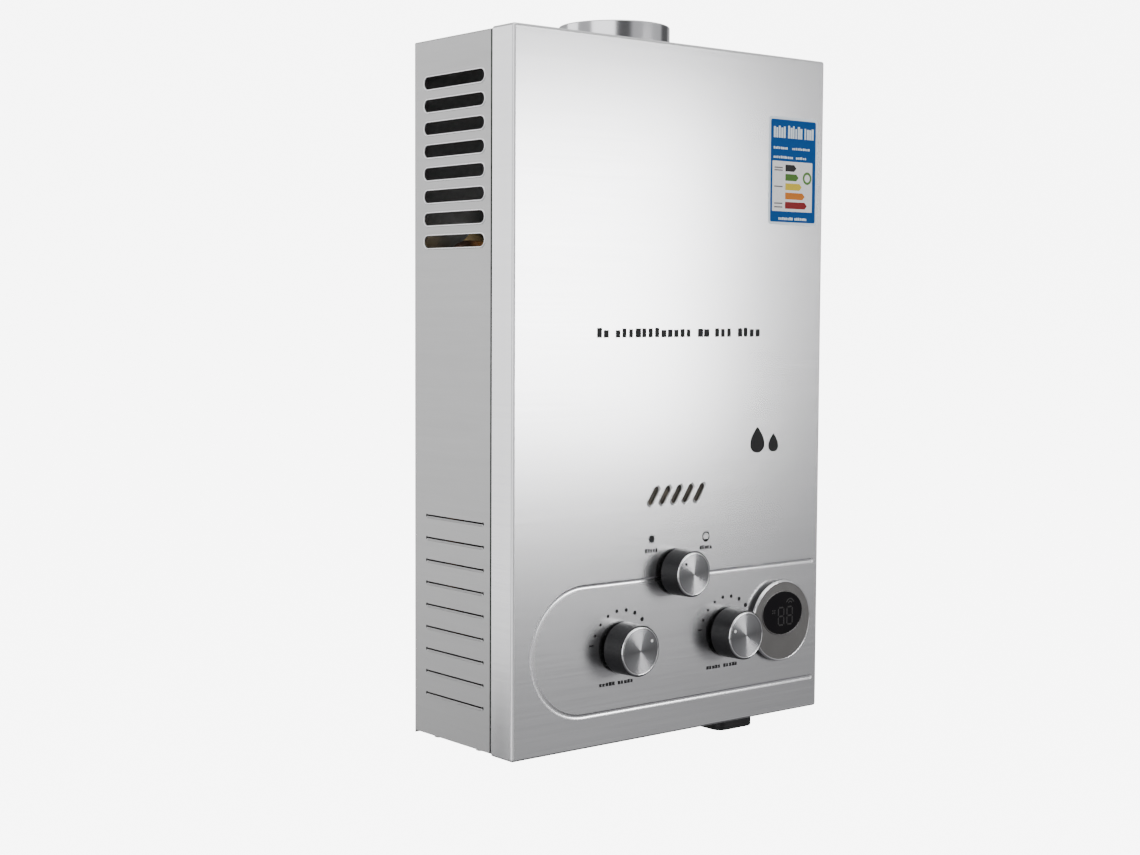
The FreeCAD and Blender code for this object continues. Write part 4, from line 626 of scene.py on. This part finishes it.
PLASTICS = {
    "diaphragm_rubber": ((0.02, 0.02, 0.02), (0.04, 0.04, 0.04), (0.6, 0.8), 900.0, 0.00005,
                         (0.07, 0.07, 0.07)),
    "black_plastic": ((0.012, 0.012, 0.013), (0.022, 0.022, 0.024), (0.30, 0.42), 1600.0,
                      0.00003, (0.06, 0.06, 0.065), 0.0, 0.25),
    "display_glass": ((0.004, 0.004, 0.005), (0.008, 0.007, 0.008), (0.05, 0.09), 300.0,
                      0.000002, (0.02, 0.02, 0.02), 0.0, 0.2),
    "ceramic_white": ((0.70, 0.68, 0.62), (0.86, 0.85, 0.80), (0.18, 0.32), 600.0, 0.00001,
                      (0.9, 0.9, 0.86), 0.3),
    "lead_insulation": ((0.36, 0.03, 0.02), (0.50, 0.06, 0.04), (0.45, 0.6), 900.0, 0.00002,
                        (0.6, 0.2, 0.15))}
ALONE = {"knob_aluminium": knob_aluminium, "bezel_grey": bezel_grey,
         "board_green": board_green, "mica": mica, "cell_jacket": cell_jacket}


def dress_nodes():
    """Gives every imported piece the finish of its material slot."""
    made = {name: build() for name, build in ALONE.items()}
    for build, rows in ((brushed, BRUSHED), (worn_metal, METALS), (plastic, PLASTICS)):
        made.update({name: build(name, *row) for name, row in rows.items()})
    for part in frame["record"]["subparts"]:
        piece = frame["nodes"][part["node"]]
        for place in piece.material_slots:
            place.material = made[part["material_slot"]]
    return made


# ---- Outlines, as points round a shape ----------------------------------------------
def spot(cx, cz, r, a):
    """The point at angle a on a circle."""
    return cx + r * math.cos(a), cz + r * math.sin(a)


def oval(cx, cz, half_x, half_z, steps=72):
    return [(cx + half_x * math.cos(2 * math.pi * i / steps),
             cz + half_z * math.sin(2 * math.pi * i / steps)) for i in range(steps)]


def circle(cx, cz, r, steps=40):
    return oval(cx, cz, r, r, steps)


def capsule(cx, cz, length, height, lean=0.0, steps=10):
    """A slot's outline: two half circles joined by straight sides, turned by lean."""
    r = height / 2
    reach = length / 2 - r
    rows = []
    for side, start in ((1, -90), (-1, 90)):
        for i in range(steps + 1):
            a = math.radians(start + 180 * i / steps)
            rows.append((side * reach + r * math.cos(a), r * math.sin(a)))
    c, s = math.cos(lean), math.sin(lean)
    return [(cx + u * c - w * s, cz + u * s + w * c) for u, w in rows]


def soft_box(x0, x1, z0, z1, r, steps=5):
    """A rectangle with rounded corners."""
    rows = []
    for cx, cz, start in ((x1 - r, z0 + r, -90), (x1 - r, z1 - r, 0), (x0 + r, z1 - r, 90),
                          (x0 + r, z0 + r, 180)):
        for i in range(steps + 1):
            rows.append(spot(cx, cz, r, math.radians(start + 90 * i / steps)))
    return rows


def arrow_bar(x0, x1, z0, z1):
    """A bar whose right end comes to a blunt point."""
    tip = (z1 - z0) / 2
    return [(x0, z0), (x1 - tip, z0), (x1, (z0 + z1) / 2), (x1 - tip, z1), (x0, z1)]


def sun(cx, cz, r, rays=8, inner=0.55):
    return [spot(cx, cz, r * inner if i % 2 else r, math.pi * i / rays)
            for i in range(rays * 2)]


def water_drop(cx, low_z, width, height, steps=40):
    """A round belly under a point that curves in on both sides."""
    rows = []
    for i in range(steps):
        a = 2 * math.pi * i / steps
        rise = (1 - math.cos(a)) / 2
        rows.append((cx + width * 0.65 * math.sin(a) * math.sin(a / 2),
                     low_z + height * (1 - rise)))
    return rows


# ---- Slabs and rings from outlines --------------------------------------------------
def on_front(u, w, h):
    """Across, up and out of the front panel."""
    return Vector((u, front_y - h, w))


def on_side(sign):
    """Back, up and out of one side of the casing."""
    return lambda u, w, h: Vector((sign * (side_x + h), u, w))


def slab(bm, outline, low, high, place=on_front):
    """A thin plate of the outline's shape, from low to high above its surface."""
    base = [bm.verts.new(place(u, w, low)) for u, w in outline]
    top = [bm.verts.new(place(u, w, high)) for u, w in outline]
    bm.faces.new(base)
    bm.faces.new(top)
    for i in range(len(outline)):
        j = (i + 1) % len(outline)
        bm.faces.new((base[i], base[j], top[j], top[i]))


def slabs(outlines, low, high, place=on_front):
    def build(bm):
        for outline in outlines:
            slab(bm, outline, low, high, place)
    return mesh_from(build)


def printed(outlines, base=0.0):
    """Ink on the front panel, or on a sheet whose surface lies at base."""
    return slabs(outlines, base - print_sink, base + print_t)


def ring(bm, outline_at, profile, place=on_front):
    """A closed ring: points (offset, height) of the profile carried round outline_at(offset)."""
    loops = [[bm.verts.new(place(u, w, h)) for u, w in outline_at(offset)]
             for offset, h in profile]
    for first, second in zip(loops, loops[1:] + loops[:1]):
        for i in range(len(first)):
            j = (i + 1) % len(first)
            bm.faces.new((first[i], first[j], second[j], second[i]))


def ringed(outline_at, profile):
    return mesh_from(lambda bm: ring(bm, outline_at, profile))


def bead(width, rise, sink, steps=6):
    """Profile of a rounded bead that starts at an opening's edge and ends flat."""
    rows = [(0.0, -sink)]
    for i in range(steps + 1):
        a = math.pi * i / steps
        rows.append((width / 2 - width / 2 * math.cos(a), rise * math.sin(a)))
    rows.append((width, -sink))
    return rows


# ---- Trees that repeat a piece ------------------------------------------------------
def new_tree(name, inputs):
    """A geometry tree with a mesh and named inputs coming in and a mesh going out."""
    tree = bpy.data.node_groups.new(name, "GeometryNodeTree")
    tree.interface.new_socket(name="Piece", in_out="INPUT", socket_type="NodeSocketGeometry")
    for label, (kind, value) in inputs.items():
        socket = tree.interface.new_socket(name=label, in_out="INPUT",
                                           socket_type="NodeSocket" + kind)
        if value is not None:
            socket.default_value = value
    tree.interface.new_socket(name="Result", in_out="OUTPUT", socket_type="NodeSocketGeometry")
    return tree, tree.nodes.new("NodeGroupInput").outputs, tree.nodes.new("NodeGroupOutput")


def finish_tree(tree, entry, leave, points, scale):
    copies = add(tree, "GeometryNodeInstanceOnPoints", None,
                 {"Points": points, "Instance": entry["Piece"], "Scale": scale})
    real = add(tree, "GeometryNodeRealizeInstances", None, {"Geometry": copies.outputs[0]})
    done = add(tree, "GeometryNodeSetMaterial", None,
               {"Geometry": real.outputs[0], "Material": entry["Finish"]})
    feed(tree, leave, {0: done.outputs[0]})
    return tree


def random_between(tree, low, high, seed):
    made = add(tree, "FunctionNodeRandomValue", {"data_type": "FLOAT"})
    floats = [s for s in made.inputs if s.type == "VALUE"]
    for value, socket in ((low, floats[0]), (high, floats[1]), (seed, made.inputs["Seed"])):
        tree.links.new(value, socket)
    return [s for s in made.outputs if s.type == "VALUE"][0]


def build_row_tree():
    """Copies in a straight row; each may be stretched across and up by a seeded amount."""
    tree, entry, leave = new_tree("Row", {
        "Count": ("Int", 5), "Start": ("Vector", (0, 0, 0)), "Step": ("Vector", (0, 0, 0.01)),
        "Narrowest": ("Float", 1.0), "Widest": ("Float", 1.0), "Lowest": ("Float", 1.0),
        "Highest": ("Float", 1.0), "Seed": ("Int", 1), "Finish": ("Material", None)})
    line = add(tree, "GeometryNodeMeshLine", {"mode": "OFFSET"},
               {"Count": entry["Count"], "Start Location": entry["Start"],
                "Offset": entry["Step"]})
    across = random_between(tree, entry["Narrowest"], entry["Widest"], entry["Seed"])
    other_seed = math_node(tree, "ADD", entry["Seed"], 7.0)
    up = random_between(tree, entry["Lowest"], entry["Highest"], other_seed)
    scale = add(tree, "ShaderNodeCombineXYZ", None, {"X": across, "Y": 1.0, "Z": up})
    return finish_tree(tree, entry, leave, line.outputs[0], scale.outputs[0])


def build_dial_tree():
    """Copies round an arc that faces the user, growing evenly from the first to the last."""
    tree, entry, leave = new_tree("Dial", {
        "Count": ("Int", 8), "Centre": ("Vector", (0, 0, 0)), "Radius": ("Float", 0.026),
        "First angle": ("Float", 2.7), "Last angle": ("Float", 0.4),
        "First size": ("Float", 0.5), "Last size": ("Float", 1.0), "Finish": ("Material", None)})
    line = add(tree, "GeometryNodeMeshLine", {"mode": "OFFSET"},
               {"Count": entry["Count"], "Offset": (0.0, 0.0, 0.0)})
    index = add(tree, "GeometryNodeInputIndex").outputs[0]
    last = math_node(tree, "SUBTRACT", entry["Count"], 1.0)
    share = math_node(tree, "DIVIDE", index, last)
    angle = ranged(tree, share, entry["First angle"], entry["Last angle"])
    out_x = math_node(tree, "MULTIPLY", math_node(tree, "COSINE", angle), entry["Radius"])
    out_z = math_node(tree, "MULTIPLY", math_node(tree, "SINE", angle), entry["Radius"])
    reach = add(tree, "ShaderNodeCombineXYZ", None, {"X": out_x, "Y": 0.0, "Z": out_z})
    place = vector_node(tree, "ADD", reach.outputs[0], entry["Centre"])
    moved = add(tree, "GeometryNodeSetPosition", None,
                {"Geometry": line.outputs[0], "Position": place.outputs[0]})
    size = ranged(tree, share, entry["First size"], entry["Last size"])
    scale = add(tree, "ShaderNodeCombineXYZ", None, {"X": size, "Y": 1.0, "Z": size})
    return finish_tree(tree, entry, leave, moved.outputs[0], scale.outputs[0])


ROW = build_row_tree()
DIAL = build_dial_tree()


def grown(name, mesh, tree, inputs, material, body="casing"):
    """A plain piece from what a tree makes of a starting mesh."""
    work = placed("work", mesh)
    modifier = work.modifiers.new("grow", "NODES")
    modifier.node_group = tree
    sockets = {item.name: item.identifier for item in tree.interface.items_tree
               if item.in_out == "INPUT"}
    for label, value in inputs.items():
        modifier[sockets[label]] = value
    modifier[sockets["Finish"]] = material
    seen = work.evaluated_get(bpy.context.evaluated_depsgraph_get())
    made = bpy.data.meshes.new_from_object(seen)
    work.modifiers.clear()
    bpy.data.objects.remove(work)
    return solid_object(name, made, None, body)


# ---- Casing sides -------------------------------------------------------------------
def both_sides(outline_at, profile):
    """One ring on the left side and its twin on the right."""
    def build(bm):
        for sign in (-1, 1):
            ring(bm, outline_at, profile, on_side(sign))
    return mesh_from(build)


def make_vent_rims(rim_finish):
    """The turned lip round each large vent."""
    middle_y = front_y + vent_from_front + vent_length / 2
    low_z = top_z - vent_top_drop - (vent_count - 1) * vent_pitch
    inset = 0.04 * MM

    def outline_at(offset):
        grow = 2 * (offset - inset)
        return capsule(middle_y, 0.0, vent_length + grow, vent_height + grow)

    mesh = both_sides(outline_at, bead(1.3 * MM, 0.45 * MM, 0.7 * MM))
    smooth(grown("vent_rims", mesh, ROW,
                 {"Count": vent_count, "Start": (0, 0, low_z), "Step": (0, 0, vent_pitch)},
                 rim_finish))


def make_louver_lips(lip_finish, pit_shade_finish):
    """A pressed lip under each narrow slot, and dark discs of painted shade for the round pits
    that end it.
    """
    middle_y = front_y + louver_from_front + louver_length / 2

    def lip(offset):
        return capsule(middle_y, -louver_height / 2 - 0.35 * MM,
                       louver_length - 1.0 * MM + 2 * offset, 0.9 * MM + 2 * offset)

    profile = [(0.0, 0.32 * MM), (0.25 * MM, 0.2 * MM), (0.4 * MM, -0.1 * MM),
               (-0.3 * MM, -0.1 * MM), (-0.3 * MM, 0.3 * MM)]
    spread = {"Count": louver_count, "Start": (0, 0, louver_first_z),
              "Step": (0, 0, louver_pitch)}
    smooth(grown("louver_lips", both_sides(lip, profile), ROW, spread, lip_finish))

    # dark discs of painted shade in place of the pits
    def build(bm):
        for sign in (-1, 1):
            for end in (-1, 1):
                slab(bm, circle(middle_y + end * louver_length / 2, 0.0, 1.25 * MM, 16),
                     -0.05 * MM, 0.03 * MM, on_side(sign))

    grown("louver_end_pit_shadows", mesh_from(build), ROW, spread, pit_shade_finish)


def make_cover_seam_shadow(shadow):
    """A dark strip of painted shadow where the cover's lip ends against the casing, on both sides
    and the top.
    """
    lip_end_y = cover_high.y
    wide, low, high = 3.2 * MM, -0.1 * MM, 0.05 * MM

    def build(bm):
        strip = [(lip_end_y, case_low.z + 2.0 * MM), (lip_end_y + wide, case_low.z + 2.0 * MM),
                 (lip_end_y + wide, case_high.z - 1.0 * MM), (lip_end_y, case_high.z - 1.0 * MM)]
        for sign in (-1, 1):
            slab(bm, strip, low, high, on_side(sign))
        cap = [(-side_x + 2.0 * MM, lip_end_y), (side_x - 2.0 * MM, lip_end_y),
               (side_x - 2.0 * MM, lip_end_y + wide), (-side_x + 2.0 * MM, lip_end_y + wide)]
        slab(bm, cap, low, high, lambda u, w, h: Vector((u, w, case_high.z + h)))

    solid_object("cover_seam_shadow", mesh_from(build), shadow)


# ---- Front panel --------------------------------------------------------------------
def make_groove_bed(finish):
    """The soft round bed of the pressed groove: two level runs joined by a half circle."""
    r = (groove_high_z - groove_low_z) / 2
    cx, cz = groove_left_x + r, (groove_high_z + groove_low_z) / 2
    turn_steps, cross_steps = 36, 10
    path = [(groove_right_x, groove_high_z, 90.0)]
    path += [(*spot(cx, cz, r, math.radians(a)), a)
             for a in (90 + 180 * i / turn_steps for i in range(turn_steps + 1))]
    path.append((groove_right_x, groove_low_z, 270.0))

    def build(bm):
        rows = []
        for x, z, angle in path:
            a = math.radians(angle)
            row = []
            for i in range(cross_steps + 1):
                across = -1 + 2 * i / cross_steps
                rise = groove_bed_edge - groove_bed_depth * (1 - across * across)
                place = on_front(*spot(x, z, across * groove_bed_half, a), rise)
                row.append(bm.verts.new(place))
            rows.append(row)
        for first, second in zip(rows, rows[1:]):
            for i in range(cross_steps):
                bm.faces.new((first[i], first[i + 1], second[i + 1], second[i]))

    mesh = turned_to(Vector((0, -1, 0)), mesh_from(build))
    smooth(solid_object("groove_bed", mesh, finish))


def make_flame_slot_rims(flank_shade_finish, edge_finish):
    """Round each leaning sight slot: a dull flank, darkened with painted shade, that falls into
    it, and a bright edge.
    """
    tall = flame_high - flame_low - 2 * flame_r
    lean = math.atan2(tall, flame_lean)
    length = math.hypot(tall, flame_lean) + 2 * flame_r
    start = -flame_pitch * (flame_count - 1) / 2
    flank = [(0.0, -0.3 * MM), (0.0, 0.02 * MM), (0.9 * MM, 0.30 * MM), (0.95 * MM, -0.3 * MM)]
    edge = [(0.9 * MM, -0.1 * MM), (0.9 * MM, 0.30 * MM), (1.25 * MM, 0.40 * MM),
            (1.6 * MM, 0.24 * MM), (1.75 * MM, -0.1 * MM)]

    def slot_at(offset):
        return capsule(0.0, (flame_low + flame_high) / 2, length + 2 * offset,
                       2 * flame_r + 2 * offset, lean)

    for name, profile, finish in (("flame_slot_flanks", flank, flank_shade_finish),
                                  ("flame_slot_edges", edge, edge_finish)):
        smooth(grown(name, ringed(slot_at, profile), ROW,
                     {"Count": flame_count, "Start": (start, 0, 0), "Step": (flame_pitch, 0, 0)},
                     finish))


def make_dials(black):
    """Growing dots round both lower knobs, with a minus and a plus at the ends."""
    dot_r = 1.65 * MM
    stroke = 1.2 * MM
    long = 4.2 * MM
    minus_angle, first_angle, last_angle, plus_angle = (math.radians(a) for a in (172, 156, 24, 7))
    for side, knob in (("gas", "gas_knob"), ("water", "water_knob")):
        cx, cz = face_of(knob)[:2]
        grown(side + "_dial_dots", printed([circle(0.0, 0.0, dot_r, 24)]), DIAL,
              {"Count": dial_dot_count, "Centre": (cx, 0.0, cz), "Radius": dial_r,
               "First angle": first_angle, "Last angle": last_angle,
               "First size": 0.60, "Last size": 1.08}, black)
        minus = spot(cx, cz, dial_mark_r, minus_angle)
        plus = spot(cx, cz, dial_mark_r, plus_angle)
        marks = [capsule(*minus, long, stroke), capsule(*plus, long, stroke),
                 capsule(*plus, long, stroke, math.pi / 2)]
        solid_object(side + "_dial_end_marks", printed(marks), black)


def greeked(name, material, low_x, low_z, words, pitch, height, seed, base=0.0):
    """Rows of unreadable strokes that stand in for wording, one row for each word's length."""
    x = low_x
    width = pitch / MM
    for number, count in enumerate(words):
        stroke = printed([soft_box(0.0, 1.0 * MM, 0.0, height, 0.12 * MM, 2)], base)
        grown("%s_%d" % (name, number + 1), stroke, ROW,
              {"Count": count, "Start": (x, 0, low_z), "Step": (pitch, 0, 0),
               "Narrowest": width * 0.58, "Widest": width * 0.88, "Lowest": 0.74,
               "Highest": 1.0, "Seed": seed + number}, material)
        x += (count + 0.8) * pitch


def make_captions(black):
    for number, knob in enumerate(("gas_knob", "water_knob")):
        cx, cz = face_of(knob)[:2]
        greeked(knob + "_caption", black, cx - 20.5 * MM, cz - 26.6 * MM, (5, 5), 3.0 * MM,
                2.9 * MM, 11 + number)


def make_season_icons(black):
    """A sun and a ring over short captions, left and right of the upper knob."""
    left_x, left_z = -23.8 * MM, 144.4 * MM
    right_x, right_z = 29.8 * MM, 142.4 * MM
    ring_r, ring_width = 3.8 * MM, 1.1 * MM
    solid_object("season_icon_left", printed([sun(left_x, left_z, 3.9 * MM)]), black)

    def build(bm):
        ring(bm, lambda offset: circle(right_x, right_z, ring_r + offset),
             [(0.0, -print_sink), (0.0, print_t), (-ring_width, print_t),
              (-ring_width, -print_sink)])
        slab(bm, capsule(right_x, right_z - 2.9 * MM, 4.4 * MM, 2.0 * MM), -print_sink, print_t)

    solid_object("season_icon_right", mesh_from(build), black)
    for name, x, z, seed in (("season_caption_left", left_x, 134.9 * MM, 31),
                             ("season_caption_right", right_x, 133.3 * MM, 41)):
        greeked(name, black, x - 6.2 * MM, z - 0.4 * MM, (5,), 2.5 * MM, 3.3 * MM, seed)


def make_notice(black):
    """The line of strokes across the middle of the panel."""
    greeked("notice_strokes", black, -76.4 * MM, 289.6 * MM, (2, 12, 2, 3, 4), 6.16 * MM,
            7.0 * MM, 51)


def make_flow_mark(black):
    """A large and a small water drop on one line, at the right of the panel."""
    foot_z = 202.0 * MM
    drops = [water_drop(82.0 * MM, foot_z, 15.0 * MM, 19.6 * MM),
             water_drop(99.0 * MM, foot_z, 10.5 * MM, 14.0 * MM)]
    solid_object("flow_drops", printed(drops), black)


# ---- Rating label -------------------------------------------------------------------
def label_x(mm):
    """Distance in millimetres from the label's left edge, as a place on the panel."""
    return label_x0 + mm * MM


def label_z(share):
    """Height of a share of the label, counted down from its top."""
    return label_z1 - share * (label_z1 - label_z0)


def layer(name, outlines, level, material):
    """Printed shapes on one level of the label."""
    step = 0.03 * MM
    base = label_t + step * level
    return solid_object(name, slabs(outlines, base - step, base + step * 0.5), material)


def make_label_scale():
    """Five arrows of growing length, with greeked notes at their left and a round mark."""
    scale_top, row_pitch, bar_height = label_z(0.44), 7.0 * MM, 5.1 * MM
    inks = (("black", (0.012, 0.012, 0.012), 11.9), ("green", (0.06, 0.16, 0.02), 14.4),
            ("yellow", (0.62, 0.46, 0.03), 17.8), ("orange", (0.55, 0.16, 0.01), 21.2),
            ("red", (0.22, 0.003, 0.006), 23.7))
    for row, (name, colour, length) in enumerate(inks):
        z1 = scale_top - row * row_pitch
        bar = arrow_bar(label_x(17.8), label_x(17.8 + length), z1 - bar_height, z1)
        layer("label_bar_" + name, [bar], 3, ink("label_" + name, colour, 0.3))
    mark_r, mark_width, mark_top = 4.8 * MM, 1.9 * MM, label_t + 0.1 * MM
    mark = ringed(lambda offset: circle(label_x(41.5), scale_top - 9.5 * MM, mark_r + offset),
                  [(0.0, label_t), (0.0, mark_top), (-mark_width, mark_top),
                   (-mark_width, label_t)])
    solid_object("label_round_mark", mark, ink("label_leaf", (0.09, 0.20, 0.05), 0.3))
    notes = []
    for row, drop in ((0, 3.0), (0, 4.9), (2, 3.2), (4, 1.8), (4, 4.6)):
        low_z = scale_top - row * row_pitch - drop * MM
        notes.append(soft_box(label_x(6.0), label_x(15.0), low_z, low_z + 1.0 * MM, 0.3 * MM))
    layer("label_row_notes", notes, 3, ink("label_grey", (0.16, 0.15, 0.16), 0.4))


def make_label_strokes(white):
    """Greeked heading, lines and foot of the label."""
    base = label_t + 0.04 * MM
    greeked("label_heading", white, label_x(5.0), label_z(0.195), (5, 6, 4), 2.62 * MM,
            9.6 * MM, 61, base)
    lines = ((5.0, 0.30, 8), (25.0, 0.30, 10), (5.0, 0.385, 11), (29.0, 0.385, 6))
    for number, (left, share, strokes) in enumerate(lines):
        greeked("label_line_%d" % (number + 1), white, label_x(left), label_z(share), (strokes,),
                1.9 * MM, 1.9 * MM, 71 + number, base)
    greeked("label_foot", white, label_x(11.0), label_z(0.955), (8, 7), 1.95 * MM, 2.2 * MM,
            81, base)


def make_label():
    """A plain sheet, a blue field and a pale panel, under the scale and the strokes."""
    sheet = soft_box(label_x0, label_x1, label_z0, label_z1, 3.0 * MM)
    solid_object("label_sheet", slabs([sheet], -print_sink, label_t),
                 ink("label_white", (0.78, 0.86, 0.93), 0.28))
    field = soft_box(label_x(2.0), label_x(50.5), label_z(0.975), label_z(0.025), 1.6 * MM)
    layer("label_field", [field], 1, ink("label_blue", (0.002, 0.065, 0.25), 0.4, 0.05))
    white = ink("label_print_white", (0.72, 0.80, 0.86), 0.3)
    panel = soft_box(label_x(4.0), label_x(47.0), label_z(0.875), label_z(0.41), 0.6 * MM)
    layer("label_panel", [panel], 2, ink("label_panel_white", (0.80, 0.80, 0.80), 0.3))
    make_label_scale()
    make_label_strokes(white)


# ---- Round display ------------------------------------------------------------------
def seven_bars(cx, cz, width, height, stroke):
    """The seven bars of one figure, all of them faintly lit."""
    half = height / 2
    rows = [capsule(cx, cz + dz, width - stroke, stroke) for dz in (-half, 0.0, half)]
    for dx in (-width / 2, width / 2):
        for dz in (-half / 2, half / 2):
            rows.append(capsule(cx + dx, cz + dz, half - stroke, stroke, math.pi / 2))
    return rows


def band(cx, cz, r, width):
    """A bow of even width over the top of a circle."""
    turns = [math.radians(a) for a in range(20, 161, 10)]
    outer = [spot(cx, cz, r, a) for a in turns]
    inner = [spot(cx, cz, r - width, a) for a in turns]
    return outer + inner[::-1]


def make_display(chrome, paint, dark, ghost):
    """Polished rim, dark foot, ring round the lens and the unlit figures behind it."""
    bezel_x, bezel_z, bezel_r, _, proud = face_of("display_bezel")
    rim = [(-1.5 * MM, proud - 0.1 * MM), (-1.35 * MM, proud + 0.25 * MM),
           (-0.8 * MM, proud + 0.22 * MM), (-0.3 * MM, proud - 0.25 * MM),
           (0.12 * MM, proud - 1.3 * MM), (0.12 * MM, proud - 1.9 * MM),
           (-0.4 * MM, proud - 1.9 * MM), (-0.8 * MM, proud - 0.9 * MM)]
    foot = [(0.25 * MM, 0.0), (0.25 * MM, proud - 2.0 * MM), (-0.3 * MM, proud - 2.0 * MM),
            (-0.3 * MM, 0.0)]

    def bezel_at(offset):
        return circle(bezel_x, bezel_z, bezel_r + offset, 96)

    smooth(solid_object("display_rim", ringed(bezel_at, rim), chrome))
    solid_object("display_foot", ringed(bezel_at, foot), dark)
    lens_x, lens_z, half_x, half_z, lens_proud = face_of("display_lens")

    def lens_at(offset):
        return oval(lens_x, lens_z, half_x + offset, half_z + offset)

    lip = [(-0.15 * MM, proud - 0.1 * MM), (-0.1 * MM, proud + 0.42 * MM),
           (0.35 * MM, proud + 0.45 * MM), (0.8 * MM, proud - 0.1 * MM)]
    smooth(solid_object("lens_ring", ringed(lens_at, lip), paint))
    figure_low, figure_high = lens_proud - 0.1 * MM, lens_proud + 0.03 * MM
    figures = []
    for dx in (-1.6 * MM, 7.6 * MM):
        figures += seven_bars(lens_x + dx, lens_z - 2.5 * MM, 5.8 * MM, 13.4 * MM, 1.2 * MM)
    for lean in (0.7, -0.7):
        figures.append(capsule(lens_x - 9.6 * MM, lens_z + 1.6 * MM, 4.4 * MM, 1.0 * MM, lean))
    solid_object("display_figures", slabs(figures, figure_low, figure_high), ghost)
    arc_x, arc_z = lens_x + 8.0 * MM, lens_z + 6.3 * MM
    arcs = [band(arc_x, arc_z, 4.6 * MM, 1.0 * MM), band(arc_x, arc_z, 2.4 * MM, 0.9 * MM)]
    solid_object("display_arc_icon", slabs(arcs, figure_low, figure_high), ghost)


# ---- Knobs --------------------------------------------------------------------------
def make_knob_trim(side, chrome, mark_finish, mark_angle):
    """The polished chamfer round a knob's metal face and the mark near its edge."""
    body = side + "_control"
    cx, cz, r, _, out = face_of(side + "_knob_face")
    trim = [(-1.0 * MM, out - 0.15 * MM), (-0.85 * MM, out + 0.12 * MM),
            (-0.3 * MM, out + 0.06 * MM), (0.35 * MM, out - 0.55 * MM),
            (0.35 * MM, out - 0.75 * MM), (-0.5 * MM, out - 0.75 * MM)]

    def face_at(offset):
        return circle(cx, cz, r + offset, 72)

    smooth(solid_object(side + "_knob_trim", ringed(face_at, trim), chrome, body))
    mark = circle(*spot(cx, cz, 0.72 * r, math.radians(mark_angle)), 1.15 * MM, 20)
    solid_object(side + "_knob_mark", slabs([mark], out - 0.05 * MM, out + 0.06 * MM),
                 mark_finish, body)


# ---- Battery door -------------------------------------------------------------------
def make_door_ribs(black):
    """Grip ribs across the underside of the battery door."""
    low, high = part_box("battery_door")
    cx = (low.x + high.x) / 2
    half = 9.0 * MM
    end_slope = 0.3 * MM
    root, crest = 0.1 * MM, -0.5 * MM

    def build(bm):
        rows = [(-0.55 * MM, root, half), (-0.3 * MM, crest, half - end_slope),
                (0.3 * MM, crest, half - end_slope), (0.55 * MM, root, half)]
        ends = [[bm.verts.new((cx + side * reach, y, h)) for y, h, reach in rows]
                for side in (-1, 1)]
        bm.faces.new(ends[0])
        bm.faces.new(ends[1])
        for i in range(len(rows)):
            j = (i + 1) % len(rows)
            bm.faces.new((ends[0][i], ends[0][j], ends[1][j], ends[1][i]))

    grown("battery_door_ribs", mesh_from(build), ROW,
          {"Count": 6, "Start": (0, low.y + 6.0 * MM, low.z), "Step": (0, 2.4 * MM, 0)},
          black, "battery_lid")


make_camera()
make_world()
make_lights()
make_stage()
finishes = dress_nodes()
black_print = ink("black_print", (0.014, 0.014, 0.015))
chrome = polished_rim()
make_vent_rims(finishes["stainless_front"])
# a flat dark ink used for painted shade: the louver end pits and the cover seam
pit_shadow = ink("pit_shadow", (0.05, 0.05, 0.05), 0.8)
make_louver_lips(finishes["case_steel"], pit_shadow)
# painted shadow along the seam between cover and casing
make_cover_seam_shadow(pit_shadow)
make_groove_bed(finishes["stainless_front"])
# the slot flanks carry painted shade
make_flame_slot_rims(shaded_slot_flank(), chrome)
make_dials(black_print)
make_captions(black_print)
make_season_icons(black_print)
make_notice(black_print)
make_flow_mark(black_print)
make_label()
make_display(chrome, finishes["bezel_grey"], finishes["black_plastic"],
             ink("unlit_figures", (0.034, 0.032, 0.033), 0.3))
make_knob_trim("gas", chrome, ink("mark_white", (0.85, 0.85, 0.85), 0.3), 32)
make_knob_trim("water", chrome, bpy.data.materials["mark_white"], 160)
make_knob_trim("season", chrome, black_print, 135)
make_door_ribs(finishes["black_plastic"])
